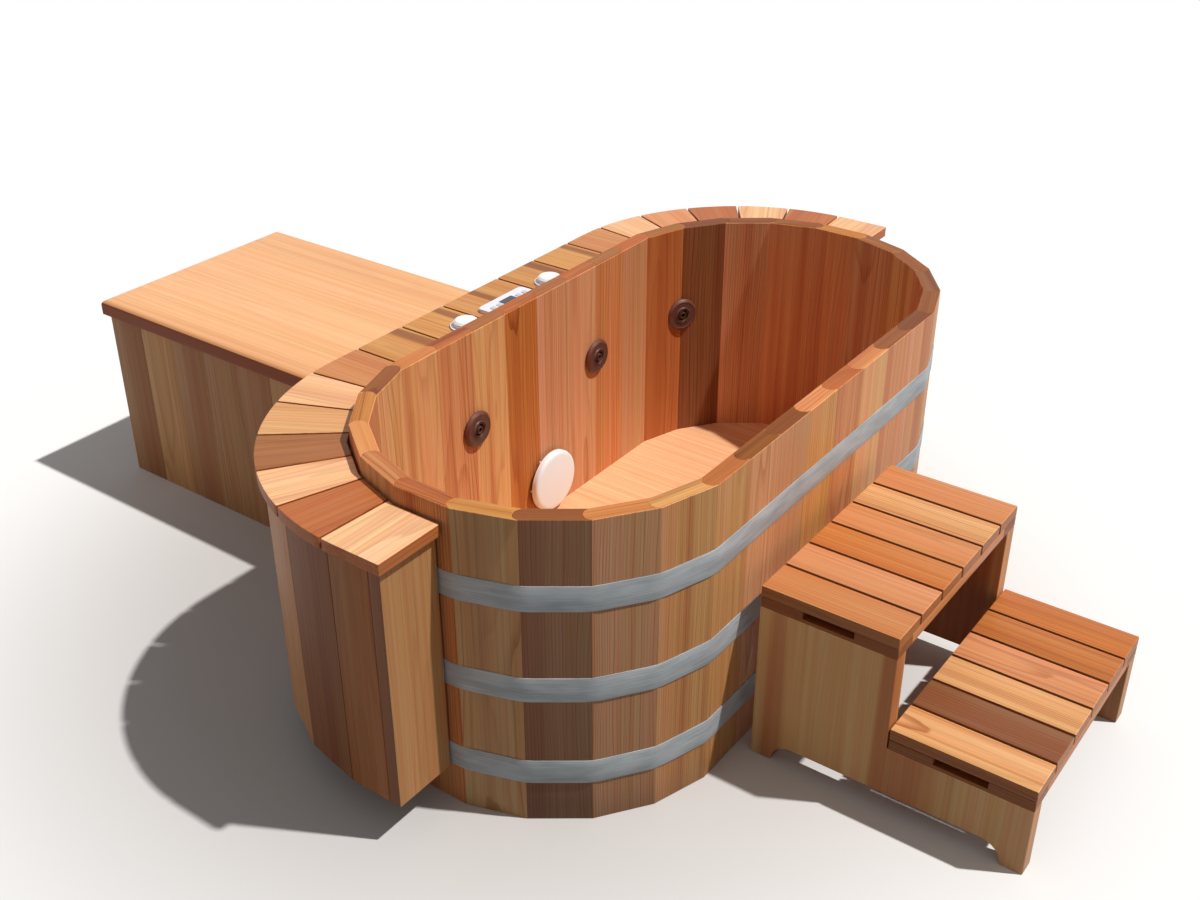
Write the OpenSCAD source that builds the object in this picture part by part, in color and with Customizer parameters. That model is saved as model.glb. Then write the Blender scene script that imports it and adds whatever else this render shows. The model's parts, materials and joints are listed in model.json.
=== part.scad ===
// Japanese soaking tub of cedar staves with hydrotherapy jets, a wrap-round apron deck,
// an equipment cabinet behind it and a loose set of two steps in front.
// The origin is on the ground under the middle of the tub. X runs along the tub, Y points
// from the steps to the cabinet and Z is up. All sizes are in millimetres.

/* [Tub] */
// Height of the staves
tub_h = 686; // [600:1:780]
// Half the length of the tub's straight sides
straight_half = 390; // [340:1:440]
// From the centre of a round end to the flat outer face of its staves
end_r = 400; // [385:1:415]
// Thickness of the staves
stave_t = 38; // [34:0.5:42]
// Staves round each end
end_staves = 9; // [7:2:11]
// Staves along each straight side
side_staves = 8; // [6:2:10]
// How far the bead along one edge of each stave stands out
bead_out = 13; // [8:0.5:15]
// Play between a bead and the cove that takes it
bead_play = 0.1; // [0.05:0.05:0.3]
// Play wherever two fixed pieces meet
seam = 0.2; // [0.1:0.1:0.4]

/* [Tub floor] */
// Height of the underside of the floor boards
floor_z = 68; // [58:1:80]
// Thickness of the floor boards
floor_t = 38; // [30:1:42]
// Depth of the croze groove that holds the floor
croze_d = 8; // [5:1:12]
// Boards side by side in the floor
floor_board_count = 11; // [8:1:14]
// Width of a joist under the floor
joist_w = 60; // [40:1:80]
// Distance between joists
joist_pitch = 230; // [190:1:260]

/* [Hoops] */
// Height of a steel hoop's band
hoop_w = 55; // [40:1:60]
// Thickness of the band
hoop_t = 2; // [1.5:0.1:3]
// Height of the lowest hoop's middle
hoop_low_z = 121; // [112:1:124]
// Height of the middle hoop's middle
hoop_mid_z = 318; // [300:1:340]
// Height of the top hoop's middle
hoop_top_z = 522; // [520:1:530]
// Opening between a hoop's two ends at the draw bolt
hoop_gap = 46; // [30:1:60]
// How far an ear stands out from the band
ear_h = 26; // [20:1:32]
// Thickness of an ear
ear_t = 8; // [6:1:10]
// Radius of a draw bolt
bolt_r = 5; // [4:0.5:6]

/* [Apron] */
// Width of the deck along the tub's sides and ends
deck_w = 160; // [156:1:175]
// Radius of the deck's outer corners
apron_corner_r = 500; // [470:1:505]
// How far the deck's ends reach past the tub's middle
apron_past = 46; // [40:1:60]
// Height of the deck's top
deck_z = 650; // [640:1:660]
// Thickness of the deck boards
deck_t = 25; // [20:1:30]
// Slot between deck boards
slot_w = 5; // [3:0.5:8]
// Width of the middle deck board, which carries the controls
middle_board_w = 198; // [190:1:204]
// Deck boards on each side of the middle one
apron_boards = 9; // [8:1:10]
// Gap between the deck and the tub
deck_gap = 6; // [5:0.5:8]
// Deck overhang past the skirt
overhang = 12; // [8:1:16]
// Thickness of the skirt boards
skirt_t = 22; // [18:1:24]
// Height of the skirt's lower edge
skirt_z = 90; // [80:1:100]
// Joint between skirt boards
skirt_joint = 1.5; // [1:0.5:3]
// Thickness of the apron's end panels
end_panel_t = 28; // [22:1:32]
// Thickness of the apron's rails
rail_t = 30; // [26:1:32]
// Height of the apron's rails
rail_h = 60; // [45:1:64]
// Thickness of the ledgers on the tub
ledger_t = 18; // [14:1:20]
// Thickness of the apron's brackets
bracket_t = 26; // [20:1:28]
// Width of a bracket's arms and post
bracket_w = 26; // [20:1:28]

/* [Jets] */
// Height of the jets
jet_z = 450; // [446:1:451]
// Radius of a jet's wall fitting where it passes the staves
jet_barrel_r = 32; // [30:0.5:33]
// Radius of the turning face ring
jet_face_r = 43; // [40:0.5:45]
// Thickness of the turning face ring
jet_face_t = 8; // [7:0.5:10]
// Radius of a jet's swivelling ball
ball_r = 19; // [18:0.5:19.5]
// Radius of a jet's lock nut
jet_nut_r = 42; // [40:0.5:43]
// How far a jet's body stands out behind the wall
jet_tail = 70; // [66:1:74]

/* [Suction] */
// Distance of the suction fitting from the tub's middle
suction_x = 30; // [28:1:36]
// Height of the suction fitting
suction_z = 196; // [195:1:205]
// Radius of the domed cover
cover_r = 77; // [70:1:80]
// Thickness of the domed cover
cover_t = 22; // [16:1:26]
// Gap behind the cover, where the water goes in
cover_gap = 9; // [6:1:12]

/* [Pipes] */
// Outer radius of the suction pipe
suction_pipe_r = 30; // [28:0.5:31]
// Outer radius of the other water pipes
pipe_r = 24; // [22:0.5:25]
// Wall of a water pipe
pipe_wall = 3.5; // [3:0.5:4]
// Outer radius of the air pipe
air_pipe_r = 9; // [8:0.5:10]
// Distance of the manifolds from the tub's wall
manifold_d = 42; // [40:0.5:43]
// Height of the water manifold
manifold_z = 378; // [372:1:380]
// Height of the air manifold
air_z = 506; // [505:1:508]
// Distance of the return pipe from the tub's middle
return_x = -48; // [-50:1:-44]

/* [Deck controls] */
// Distance of an air knob from the tub's middle
knob_x = 152; // [148:1:160]
// Radius of an air control's flange
knob_flange_r = 36; // [33:0.5:38]
// Radius of an air knob
knob_r = 29; // [26:0.5:31]
// Height of an air knob
knob_h = 13; // [10:0.5:16]
// Radius of an air control's barrel under the deck
barrel_r = 20; // [18:0.5:21]
// Length of the control panel
panel_l = 156; // [152:1:160]
// Width of the control panel
panel_w = 60; // [54:1:62]
// Height of the control panel above the deck
panel_h = 9; // [7:0.5:12]
// Distance between neighbouring buttons
button_pitch = 22; // [19:1:23]
// Length of the panel's window
window_l = 46; // [36:1:48]
// Width of the panel's window
window_w = 28; // [20:1:34]
// Radius of a button
button_r = 7; // [5:0.5:7.5]
// Travel of a button
button_travel = 1.2; // [0.8:0.1:1.6]

/* [Drain] */
// Distance of the drain from the tub's middle
drain_x = -640; // [-650:1:-610]
// Radius of the drain where it passes through the floor
drain_r = 24; // [22:0.5:26]
// Bore of the drain
drain_bore_r = 19; // [15:0.5:19.5]

/* [Equipment cabinet] */
// Length of the lid, from the deck to the far end
cab_len = 956; // [930:1:1000]
// Width of the lid
cab_w = 600; // [590:1:640]
// Distance of the lid's middle from the tub's middle
cab_x = -40; // [-50:1:-35]
// Height of the lid's top
cab_h = 500; // [496:1:530]
// Thickness of the lid
lid_t = 38; // [30:1:40]
// Rounding along the lid's top edges
lid_round = 12; // [6:1:16]
// Lid overhang past the walls
lid_over = 13; // [8:1:16]
// Gap between the cabinet and the deck's edge
lid_gap = 6; // [4:1:10]
// Section of a lid batten
batten_w = 60; // [40:1:70]
// Thickness of a lid batten
batten_t = 18; // [14:1:20]
// Boards in the lid
lid_board_count = 5; // [4:1:6]
// Thickness of the wall boards
wall_t = 22; // [18:1:24]
// Boards in each long wall
long_wall_boards = 8; // [7:1:10]
// Boards in the far wall
far_wall_boards = 5; // [4:1:6]
// Side of a corner post or rail
post_w = 38; // [32:1:40]
// Thickness of the cabinet's floor
cab_floor_t = 20; // [16:1:22]
// Height of the cabinet's floor rails above the ground
cab_lift = 12; // [8:1:16]
// Length of a hinge
hinge_l = 76; // [60:1:90]
// Radius of a hinge knuckle
knuckle_r = 4.5; // [4:0.5:5]
// Radius of a hinge pin
hinge_pin_r = 2.5; // [2:0.25:2.75]

/* [Equipment] */
// Distance of the pump's front from the cabinet's near end
pump_start = 210; // [200:1:220]
// Radius of the pump's volute
volute_r = 92; // [84:1:96]
// Length of the volute
volute_l = 84; // [76:1:90]
// Radius of the motor
motor_r = 80; // [74:1:84]
// Length of the motor
motor_l = 250; // [230:1:260]
// Radius of the motor's shaft
shaft_r = 8; // [6:0.5:9]
// Radius of the filter canister
filter_r = 100; // [90:1:104]
// Height of the filter canister
filter_h = 330; // [300:1:345]
// Radius of the heater tube
heater_r = 38; // [34:1:40]
// Length of the heater tube
heater_l = 360; // [330:1:370]
// Gap between the heater and the filter
heater_gap = 110; // [90:1:120]
// Length of the heater's terminal box
heater_box_l = 90; // [70:1:110]
// Width of the heater's terminal box
heater_box_w = 50; // [40:1:56]
// Distance of the slice valves from the cabinet's near end
valve_start = 84; // [80:1:90]
// Distance of the return pipe's turn behind its valve
return_reach = 66; // [62:1:70]
// Length of the control box
control_l = 220; // [180:1:240]
// Height of the control box
control_h = 200; // [160:1:220]
// Depth of the control box
control_d = 90; // [70:1:94]
// Gap between the control box and the far corner post
control_gap = 68; // [50:1:80]
// Gap between the far batten and the filter
batten_gap = 10; // [6:1:20]
// Thickness of a slice valve's gate
gate_t = 4; // [3:0.5:5]

/* [Steps] */
// Width of the steps
steps_w = 560; // [520:1:600]
// Distance of the steps' middle from the tub's middle
steps_x = -50; // [-80:1:-20]
// Gap between the tub and the steps
steps_gap = 34; // [28:1:60]
// Depth of a tread
tread_d = 289; // [270:1:310]
// Height of the upper tread
upper_z = 413; // [390:1:430]
// Height of the lower tread
lower_z = 204; // [190:1:220]
// Slats in a tread
slats = 6; // [5:1:7]
// Gap between slats
slat_gap = 6; // [4:0.5:8]
// Thickness of a slat
slat_t = 25; // [20:1:28]
// Thickness of the frame under the slats
frame_t = 23; // [20:1:26]
// Width of the frame's pieces
frame_w = 60; // [50:1:70]
// Thickness of the side panels
side_t = 38; // [30:1:42]
// Length of a hand hold
hold_l = 108; // [90:1:120]
// Height of a hand hold
hold_h = 16; // [12:1:18]
// Height of the arch under a side panel
arch_h = 44; // [30:1:50]
// Length of a foot
foot_l = 46; // [36:1:60]

/* [Hidden] */
$fn = 96;

// Clearance of a running fit, on the radius
run_fit = 0.06;
// Clearance between a still piece and a moving one
free_fit = 0.4;
// Cuts run this far past the faces they leave
past = 2;

// ---- The tub's outline: a stadium with flat facets round its ends ----
turn = 180 / (end_staves + 1);
inner_r = end_r - stave_t;
corner_x = straight_half + end_r * tan(turn / 2);
side_pitch = 2 * corner_x / side_staves;

function polar(r, a) = [r * cos(a), r * sin(a)];
// Corner k of a round end (0 right, 1 left), with the end's flat faces at distance r
function corner(end, k, r) =
    [(1 - 2 * end) * straight_half, 0]
    + polar(r / cos(turn / 2), 180 * end - 90 + (k + 0.5) * turn);
// Corners of the whole outline, anticlockwise from the front of the right end
function outline(r) = [for (end = [0, 1], k = [0 : end_staves]) corner(end, k, r)];
// The joints between staves at distance r, anticlockwise from the front of the right end
function joints(r) = [
    for (end = [0, 1]) each concat(
        [for (k = [0 : end_staves]) corner(end, k, r)],
        [for (i = [1 : side_staves - 1])
            [(1 - 2 * end) * (corner_x - i * side_pitch), (1 - 2 * end) * r]])
];

module tub_prism(r, z1, z2) {
    translate([0, 0, z1]) linear_extrude(z2 - z1) polygon(outline(r));
}

// ---- Staves ----
joints_out = joints(end_r);
joints_in = joints(inner_r);
staves_total = len(joints_out);

// Middle of joint j, half its length, its outward direction and the direction into its own
// stave; then the radius of the bead, which leaves a flat shoulder on both sides
shoulder = 1.5;
function joint_mid(j) = (joints_out[j] + joints_in[j]) / 2;
function joint_half(j) = norm(joints_out[j] - joints_in[j]) / 2;
function joint_dir(j) = (joints_out[j] - joints_in[j]) / (2 * joint_half(j));
function joint_face(j) = let (d = joint_dir(j)) [-d[1], d[0]];
function bead_r(j) = (pow(joint_half(j) - shoulder, 2) + pow(bead_out, 2)) / (2 * bead_out);

// Frame of joint j: X along the joint outwards, Y into its own stave
module at_joint(j) {
    d = joint_dir(j);
    translate(joint_mid(j)) rotate(atan2(d[1], d[0])) children();
}
module bead_circle(j, r) {
    at_joint(j) translate([0, bead_r(j) - bead_out]) rotate(90) circle(r);
}
module bead(j) {
    intersection() {
        bead_circle(j, bead_r(j));
        at_joint(j) translate([-stave_t, -stave_t]) square([2 * stave_t, stave_t + 1]);
    }
}

// Stave j lies between joint j, where its bead stands out, and the next one, where its cove is
module stave(j) {
    k = (j + 1) % staves_total;
    play = bead_play * joint_face(k);
    difference() {
        linear_extrude(tub_h) difference() {
            union() {
                polygon([joints_in[j], joints_out[j], joints_out[k] - play, joints_in[k] - play]);
                bead(j);
            }
            bead_circle(k, bead_r(k) + bead_play);
        }
        tub_prism(inner_r + croze_d + seam, floor_z - seam, floor_z + floor_t + seam);
    }
}

// A row of staves, with the children cut out of each
module staves(first, count) {
    for (j = [first : first + count - 1]) difference() {
        stave(j);
        children();
    }
}

// ---- Jets: seats on the wall, given by the direction they face away from ----
end_jet_angle = 90 - 1.5 * turn + 0.05;
jet_angle = [90, 90, end_jet_angle];
jet_seat = [
    [-2 * side_pitch, inner_r],
    [2 * side_pitch, inner_r],
    [straight_half, 0] + polar(inner_r / cos(turn / 2), end_jet_angle)
];
jet_wall = stave_t / cos(turn / 2);
jet_flange_t = 3;
jet_ring_z = jet_flange_t + free_fit;
// Distance behind its seat at which a jet meets the pipes
manifold_y = end_r + manifold_d;
function jet_port(i) = manifold_y - (i < 2 ? inner_r : inner_r / cos(turn / 2));

// Frame of a wall fitting: +Z points into the tub, +X up, and Z 0 is the face of the wall
module at_wall(seat, z, angle) {
    translate([seat[0], seat[1], z]) rotate([0, -90, angle]) children();
}
module at_jet(i) {
    at_wall(jet_seat[i], jet_z, jet_angle[i]) children();
}

module jet_bore(i) {
    at_jet(i) {
        translate([0, 0, -2 * stave_t]) cylinder(r = jet_barrel_r + seam, h = 3 * stave_t);
        translate([0, 0, -seam]) cylinder(r = jet_face_r + 2, h = stave_t);
    }
}
module suction_bore() {
    at_wall([suction_x, inner_r], suction_z, 90) translate([0, 0, -2 * stave_t])
        cylinder(r = suction_barrel_r + seam, h = 3 * stave_t);
}

module staves_front() {
    color("peru") staves(staves_total - side_staves, side_staves);
}
module staves_back() {
    color("peru") staves(end_staves, side_staves) {
        jet_bore(0);
        jet_bore(1);
        suction_bore();
    }
}
module staves_left() {
    color("peru") staves(end_staves + side_staves, end_staves);
}
module staves_right() {
    color("peru") staves(0, end_staves) jet_bore(2);
}

// ---- Floor ----
floor_top = floor_z + floor_t;
floor_r = inner_r + croze_d;

module floor_boards() {
    length = 2 * (straight_half + floor_r / cos(turn / 2));
    board_w = length / floor_board_count;
    color("burlywood") difference() {
        for (i = [0 : floor_board_count - 1]) intersection() {
            tub_prism(floor_r, floor_z, floor_top);
            translate([i * board_w - length / 2 + seam / 2, -end_r, 0])
                cube([board_w - seam, 2 * end_r, floor_top + past]);
        }
        translate([drain_x, 0, 0]) cylinder(r = drain_r + seam, h = floor_top + past);
    }
}
// The middle joist ends short of the drain
module floor_joists() {
    middle_half = -drain_x - drain_r - 30;
    color("peru") {
        for (s = [-1, 1]) intersection() {
            tub_prism(inner_r - seam, 0, floor_z - seam);
            translate([-straight_half - end_r, s * joist_pitch - joist_w / 2, -past])
                cube([2 * straight_half + 2 * end_r, joist_w, floor_z + 2 * past]);
        }
        translate([-middle_half, -joist_w / 2, 0]) cube([2 * middle_half, joist_w, floor_z - seam]);
    }
}

// ---- Hoops: flat steel bands, drawn tight by a bolt through two ears at the back ----
hoop_z = [hoop_low_z, hoop_mid_z, hoop_top_z];
ear_foot = 34;
hoop_x = -(middle_board_w + bracket_t + hoop_gap) / 2 - ear_foot - 20;
band_r = end_r + seam;
ear_y = band_r + hoop_t;
ear_bolt_y = ear_y + ear_h * 0.6;

module hoop(z) {
    translate([0, 0, z - hoop_w / 2]) linear_extrude(hoop_w) difference() {
        polygon(outline(band_r + hoop_t));
        polygon(outline(band_r));
        translate([hoop_x - hoop_gap / 2, 0]) square([hoop_gap, 2 * end_r]);
    }
}
module hoop_low() {
    color("lightsteelblue") hoop(hoop_low_z);
}
module hoop_middle() {
    color("lightsteelblue") hoop(hoop_mid_z);
}
module hoop_top() {
    color("lightsteelblue") hoop(hoop_top_z);
}
module hoop_ear() {
    difference() {
        union() {
            translate([hoop_gap / 2, ear_y, -hoop_w / 2]) cube([ear_foot, ear_t / 2, hoop_w]);
            translate([hoop_gap / 2, ear_y, -hoop_w / 2]) cube([ear_t, ear_h, hoop_w]);
        }
        translate([0, ear_bolt_y, 0]) rotate([0, 90, 0]) cylinder(r = bolt_r + seam, h = hoop_gap);
    }
}
module hoop_ears() {
    color("slategray") for (z = hoop_z) translate([hoop_x, 0, z]) {
        hoop_ear();
        mirror([1, 0, 0]) hoop_ear();
    }
}
module hoop_bolts() {
    head_x = hoop_gap / 2 + ear_t + seam;
    color("silver") for (z = hoop_z) translate([hoop_x, ear_bolt_y, z]) rotate([0, 90, 0]) {
        translate([0, 0, -head_x - bolt_r]) cylinder(r = 1.8 * bolt_r, h = bolt_r, $fn = 6);
        translate([0, 0, -head_x - bolt_r / 2]) cylinder(r = bolt_r, h = 2 * head_x + 3 * bolt_r);
        difference() {
            translate([0, 0, head_x]) cylinder(r = 1.8 * bolt_r, h = bolt_r, $fn = 6);
            cylinder(r = bolt_r + run_fit, h = 2 * head_x);
        }
    }
}

// ---- Drain ----
drain_flange_t = 3;
drain_nut_h = 10;
drain_neck_z = floor_z - seam - drain_nut_h - 2;
drain_tail_z = 12;
plug_stem_l = 22;

module drain_fitting() {
    color("dimgray") translate([drain_x, 0, 0]) {
        difference() {
            union() {
                translate([0, 0, floor_top + seam]) cylinder(r = drain_r + 14, h = drain_flange_t);
                translate([0, 0, drain_neck_z]) cylinder(r = drain_r, h = floor_top + 1 - drain_neck_z);
                translate([0, 0, drain_tail_z]) cylinder(r = drain_r - 2, h = floor_z);
            }
            cylinder(r = drain_bore_r, h = 2 * floor_top);
        }
        difference() {
            translate([0, 0, floor_z - seam - drain_nut_h]) cylinder(r = drain_r + 10, h = drain_nut_h);
            cylinder(r = drain_r + run_fit, h = 2 * floor_top);
        }
    }
}
module drain_plug() {
    top = floor_top + seam + drain_flange_t;
    color("black") translate([drain_x, 0, top + 0.3]) {
        cylinder(r = drain_r + 4, h = 5);
        translate([0, 0, -plug_stem_l]) cylinder(r = drain_bore_r - run_fit, h = plug_stem_l + 1);
        translate([0, 0, 4]) cylinder(r = 5, h = 14);
    }
}

// ---- Apron: deck boards, skirt and frame round the back and ends of the tub ----
// u runs along the deck's outer edge from the middle of the back, d inwards from that edge
apron_half_len = straight_half + end_r + deck_w;
apron_depth = end_r + deck_w;
edge_straight = apron_half_len - apron_corner_r;
edge_arc = apron_corner_r * PI / 2;
corner_y = apron_depth - apron_corner_r;
edge_end = edge_straight + edge_arc + corner_y + apron_past;
board_pitch = (edge_end - middle_board_w / 2) / apron_boards;
deck_under = deck_z - deck_t;
panel_out_y = overhang - apron_past;
panel_in_y = panel_out_y + end_panel_t;
edge_panel = edge_straight + edge_arc + corner_y - panel_in_y - seam;

function edge_angle(u) = min(90, max(0, (abs(u) - edge_straight) / apron_corner_r * 180 / PI));
function edge_point(u, d) =
    let (a = edge_angle(u), s = sign(u), over = abs(u) - edge_straight - edge_arc)
    a == 0 ? [u, apron_depth - d]
    : over > 0 ? [s * (apron_half_len - d), corner_y - over]
    : [s * (edge_straight + (apron_corner_r - d) * sin(a)), corner_y + (apron_corner_r - d) * cos(a)];
// The deck's slots, counted from the middle board outwards
function slot_u(k) = middle_board_w / 2 + (k - 1) * board_pitch;
// Skirt and rail joints all the way round
panel_us = concat(
    [-edge_panel], [for (k = [apron_boards : -1 : 1]) -slot_u(k)],
    [for (k = [1 : apron_boards]) slot_u(k)], [edge_panel]);

module deck_outline() {
    intersection() {
        union() {
            for (s = [-1, 1]) translate([s * edge_straight, corner_y]) circle(apron_corner_r, $fn = 200);
            translate([-edge_straight, 0]) square([2 * edge_straight, apron_depth]);
            translate([-apron_half_len, -apron_past])
                square([2 * apron_half_len, corner_y + apron_past]);
        }
        translate([-apron_half_len, -apron_past]) square([2 * apron_half_len, 2 * apron_half_len]);
    }
}
module deck_slots() {
    for (s = [-1, 1], k = [1 : apron_boards]) translate(edge_point(s * slot_u(k), 0))
        rotate(-s * edge_angle(slot_u(k))) translate([-slot_w / 2, -2 * deck_w])
            square([slot_w, 2 * deck_w + 2 * slot_w]);
}
// The stretch of deck between the slots numbered k on both sides
module deck_back_mask(k) {
    polygon([
        edge_point(-slot_u(k), -slot_w), edge_point(slot_u(k), -slot_w),
        edge_point(slot_u(k), 2 * deck_w), edge_point(-slot_u(k), 2 * deck_w)]);
}
module deck_boards(side) {
    translate([0, 0, deck_under]) linear_extrude(deck_t) difference() {
        deck_outline();
        polygon(outline(end_r + deck_gap));
        deck_slots();
        if (side == 0) difference() {
            square(4 * apron_half_len, center = true);
            deck_back_mask(4);
        } else {
            deck_back_mask(4);
            translate([side < 0 ? 0 : -2 * apron_half_len, -apron_half_len])
                square(2 * apron_half_len);
        }
    }
}
module deck_boards_left() {
    color("sandybrown") deck_boards(-1);
}
module deck_boards_right() {
    color("sandybrown") deck_boards(1);
}
module deck_boards_back() {
    color("sandybrown") difference() {
        deck_boards(0);
        for (s = [-1, 1]) translate([s * knob_x, controls_y, deck_under - past])
            cylinder(r = barrel_r + seam, h = deck_t + 2 * past);
        translate([0, controls_y, deck_under - past]) linear_extrude(deck_t + 2 * past)
            rounded_rect(body_l + 2 * seam, body_w + 2 * seam, 4);
    }
}

// A flat board or rail that follows the deck's edge from u1 to u2
module edge_board(u1, u2, d1, d2, z1, z2) {
    translate([0, 0, z1]) linear_extrude(z2 - z1)
        polygon([edge_point(u1, d1), edge_point(u2, d1), edge_point(u2, d2), edge_point(u1, d2)]);
}
module edge_ring(d1, d2, z1, z2, gap) {
    last = len(panel_us) - 2;
    for (i = [0 : last])
        edge_board(panel_us[i] + (i == 0 ? 0 : gap / 2), panel_us[i + 1] - (i == last ? 0 : gap / 2),
            d1, d2, z1, z2);
}
skirt_in = overhang + skirt_t;
rail_out = skirt_in + seam;
rail_in = rail_out + rail_t;

module skirt_boards() {
    color("sienna") difference() {
        edge_ring(overhang, skirt_in, skirt_z, deck_under - seam, skirt_joint);
        translate([suction_x, 0, suction_z]) rotate([-90, 0, 0])
            cylinder(r = suction_pipe_r + 1, h = 2 * apron_depth);
        translate([return_x, 0, manifold_z]) rotate([-90, 0, 0])
            cylinder(r = pipe_r + 1, h = 2 * apron_depth);
    }
}
module apron_end_panels() {
    x1 = straight_half + end_r + deck_gap;
    color("tan") for (s = [0, 1]) mirror([s, 0, 0]) translate([x1, panel_out_y, skirt_z])
        cube([apron_half_len - overhang - x1, end_panel_t, deck_under - seam - skirt_z]);
}

bracket_slots = [1, 3, 6, 8];
ledger_r = end_r + ledger_t;

module ledgers() {
    out = outline(ledger_r);
    in = outline(end_r + seam);
    first = (end_staves - 1) / 2;
    intersection() {
        translate([0, 0, deck_under - seam - rail_h]) linear_extrude(rail_h)
            for (i = [first : first + end_staves + 1]) polygon([
                towards(in[i], in[i + 1], seam / 2), towards(out[i], out[i + 1], seam / 2),
                towards(out[i + 1], out[i], seam / 2), towards(in[i + 1], in[i], seam / 2)]);
        translate([-apron_half_len, panel_in_y + seam, 0]) cube([2 * apron_half_len, apron_depth, deck_z]);
    }
}
// A bracket across the apron: a post behind the skirt with an arm above and one below.
// Where the rails meet at an angle, it stands back by the sag of their inner corner.
module bracket(u) {
    reach = 2 * deck_w;
    top = deck_under - seam;
    sag = abs(u) < edge_straight - board_pitch ? 0
        : bracket_t / 2 * tan(board_pitch / apron_corner_r * 90 / PI);
    front = rail_in + seam + sag;
    difference() {
        translate(edge_point(u, 0)) rotate(-sign(u) * edge_angle(u)) {
            translate([-bracket_t / 2, -front - bracket_w, skirt_z])
                cube([bracket_t, bracket_w, top - skirt_z]);
            for (z = [skirt_z, top - bracket_w]) translate([-bracket_t / 2, -reach, z])
                cube([bracket_t, reach - front - bracket_w - seam, bracket_w]);
        }
        tub_prism(ear_y + seam, 0, tub_h);
        tub_prism(ledger_r + seam, top - rail_h - seam, tub_h);
    }
}
module apron_frame() {
    top = deck_under - seam;
    color("peru") {
        ledgers();
        edge_ring(rail_out, rail_in, top - rail_h, top, seam);
        edge_ring(rail_out, rail_in, skirt_z, skirt_z + rail_h, seam);
        for (s = [-1, 1], k = bracket_slots) bracket(s * slot_u(k));
    }
}

// ---- Jet pieces ----
sleeve_r = jet_barrel_r - 6;
air_stub_r = 7;
water_stub_r = 16;
stub_l = 8;
ball_lip = 12;
lip_r = sqrt(pow(ball_r + free_fit, 2) - pow(ball_lip, 2));
ball_z = jet_ring_z + jet_face_t - 1 - ball_lip - 6;

module jet_bodies() {
    color("dimgray") for (i = [0 : 2]) at_jet(i) difference() {
        union() {
            translate([0, 0, -jet_wall - jet_tail])
                cylinder(r = jet_barrel_r, h = jet_wall + jet_tail + 1);
            cylinder(r = jet_barrel_r + 4, h = jet_flange_t);
            translate([0, 0, -jet_port(i)]) rotate([0, -90, 0]) {
                cylinder(r = air_stub_r, h = jet_barrel_r + stub_l);
                rotate([180, 0, 0]) cylinder(r = water_stub_r, h = jet_barrel_r + stub_l);
            }
        }
        translate([0, 0, -jet_wall - jet_tail + 5]) cylinder(r = sleeve_r, h = 4 * jet_tail);
        translate([0, 0, -jet_port(i)]) rotate([0, -90, 0]) {
            cylinder(r = air_stub_r - 2.5, h = 4 * jet_barrel_r);
            rotate([180, 0, 0]) cylinder(r = water_stub_r - pipe_wall, h = 4 * jet_barrel_r);
        }
    }
}
module jet_nuts() {
    color("gainsboro") for (i = [0 : 2]) at_jet(i) translate([0, 0, -jet_wall - 12.5]) difference() {
        cylinder(r = jet_nut_r, h = 12);
        translate([0, 0, -past]) cylinder(r = jet_barrel_r + run_fit, h = 12 + 2 * past);
    }
}
module jet_ring(i) {
    color([0.28, 0.17, 0.14]) at_jet(i) difference() {
        union() {
            rotate_extrude() polygon([
                [0, jet_ring_z], [jet_face_r, jet_ring_z], [jet_face_r, jet_ring_z + 2.5],
                [jet_face_r - 7, jet_ring_z + jet_face_t], [0, jet_ring_z + jet_face_t]]);
            translate([0, 0, ball_z - ball_r]) cylinder(r = sleeve_r - run_fit, h = 2 * ball_r);
        }
        translate([0, 0, ball_z]) sphere(ball_r + free_fit);
        translate([0, 0, ball_z - 2 * ball_r]) cylinder(r = lip_r, h = 4 * ball_r);
    }
}
module jet_ball(i) {
    color([0.2, 0.13, 0.12]) at_jet(i) translate([0, 0, ball_z]) difference() {
        union() {
            intersection() {
                sphere(ball_r);
                translate([0, 0, -ball_lip]) cylinder(r = ball_r, h = ball_lip + ball_r);
            }
            cylinder(r = 9, h = ball_r + 2);
        }
        translate([0, 0, -ball_r]) cylinder(r = 5.5, h = 3 * ball_r);
    }
}
module jet_ring_left() { jet_ring(0); }
module jet_ring_middle() { jet_ring(1); }
module jet_ring_right() { jet_ring(2); }
module jet_ball_left() { jet_ball(0); }
module jet_ball_middle() { jet_ball(1); }
module jet_ball_right() { jet_ball(2); }

// ---- Suction ----
suction_barrel_r = suction_pipe_r + 6;
suction_tail = 52;
cover_seat = 4 + seam;

module suction_fitting() {
    color("white") at_wall([suction_x, inner_r], suction_z, 90) {
        difference() {
            union() {
                translate([0, 0, -stave_t - suction_tail])
                    cylinder(r = suction_barrel_r, h = stave_t + suction_tail + 1);
                cylinder(r = suction_barrel_r + 10, h = 4);
            }
            translate([0, 0, -3 * suction_tail])
                cylinder(r = suction_pipe_r - pipe_wall, h = 4 * suction_tail);
        }
        translate([0, 0, -stave_t - seam - 12]) difference() {
            cylinder(r = suction_barrel_r + 9, h = 12);
            translate([0, 0, -past]) cylinder(r = suction_barrel_r + run_fit, h = 12 + 2 * past);
        }
    }
}
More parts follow.
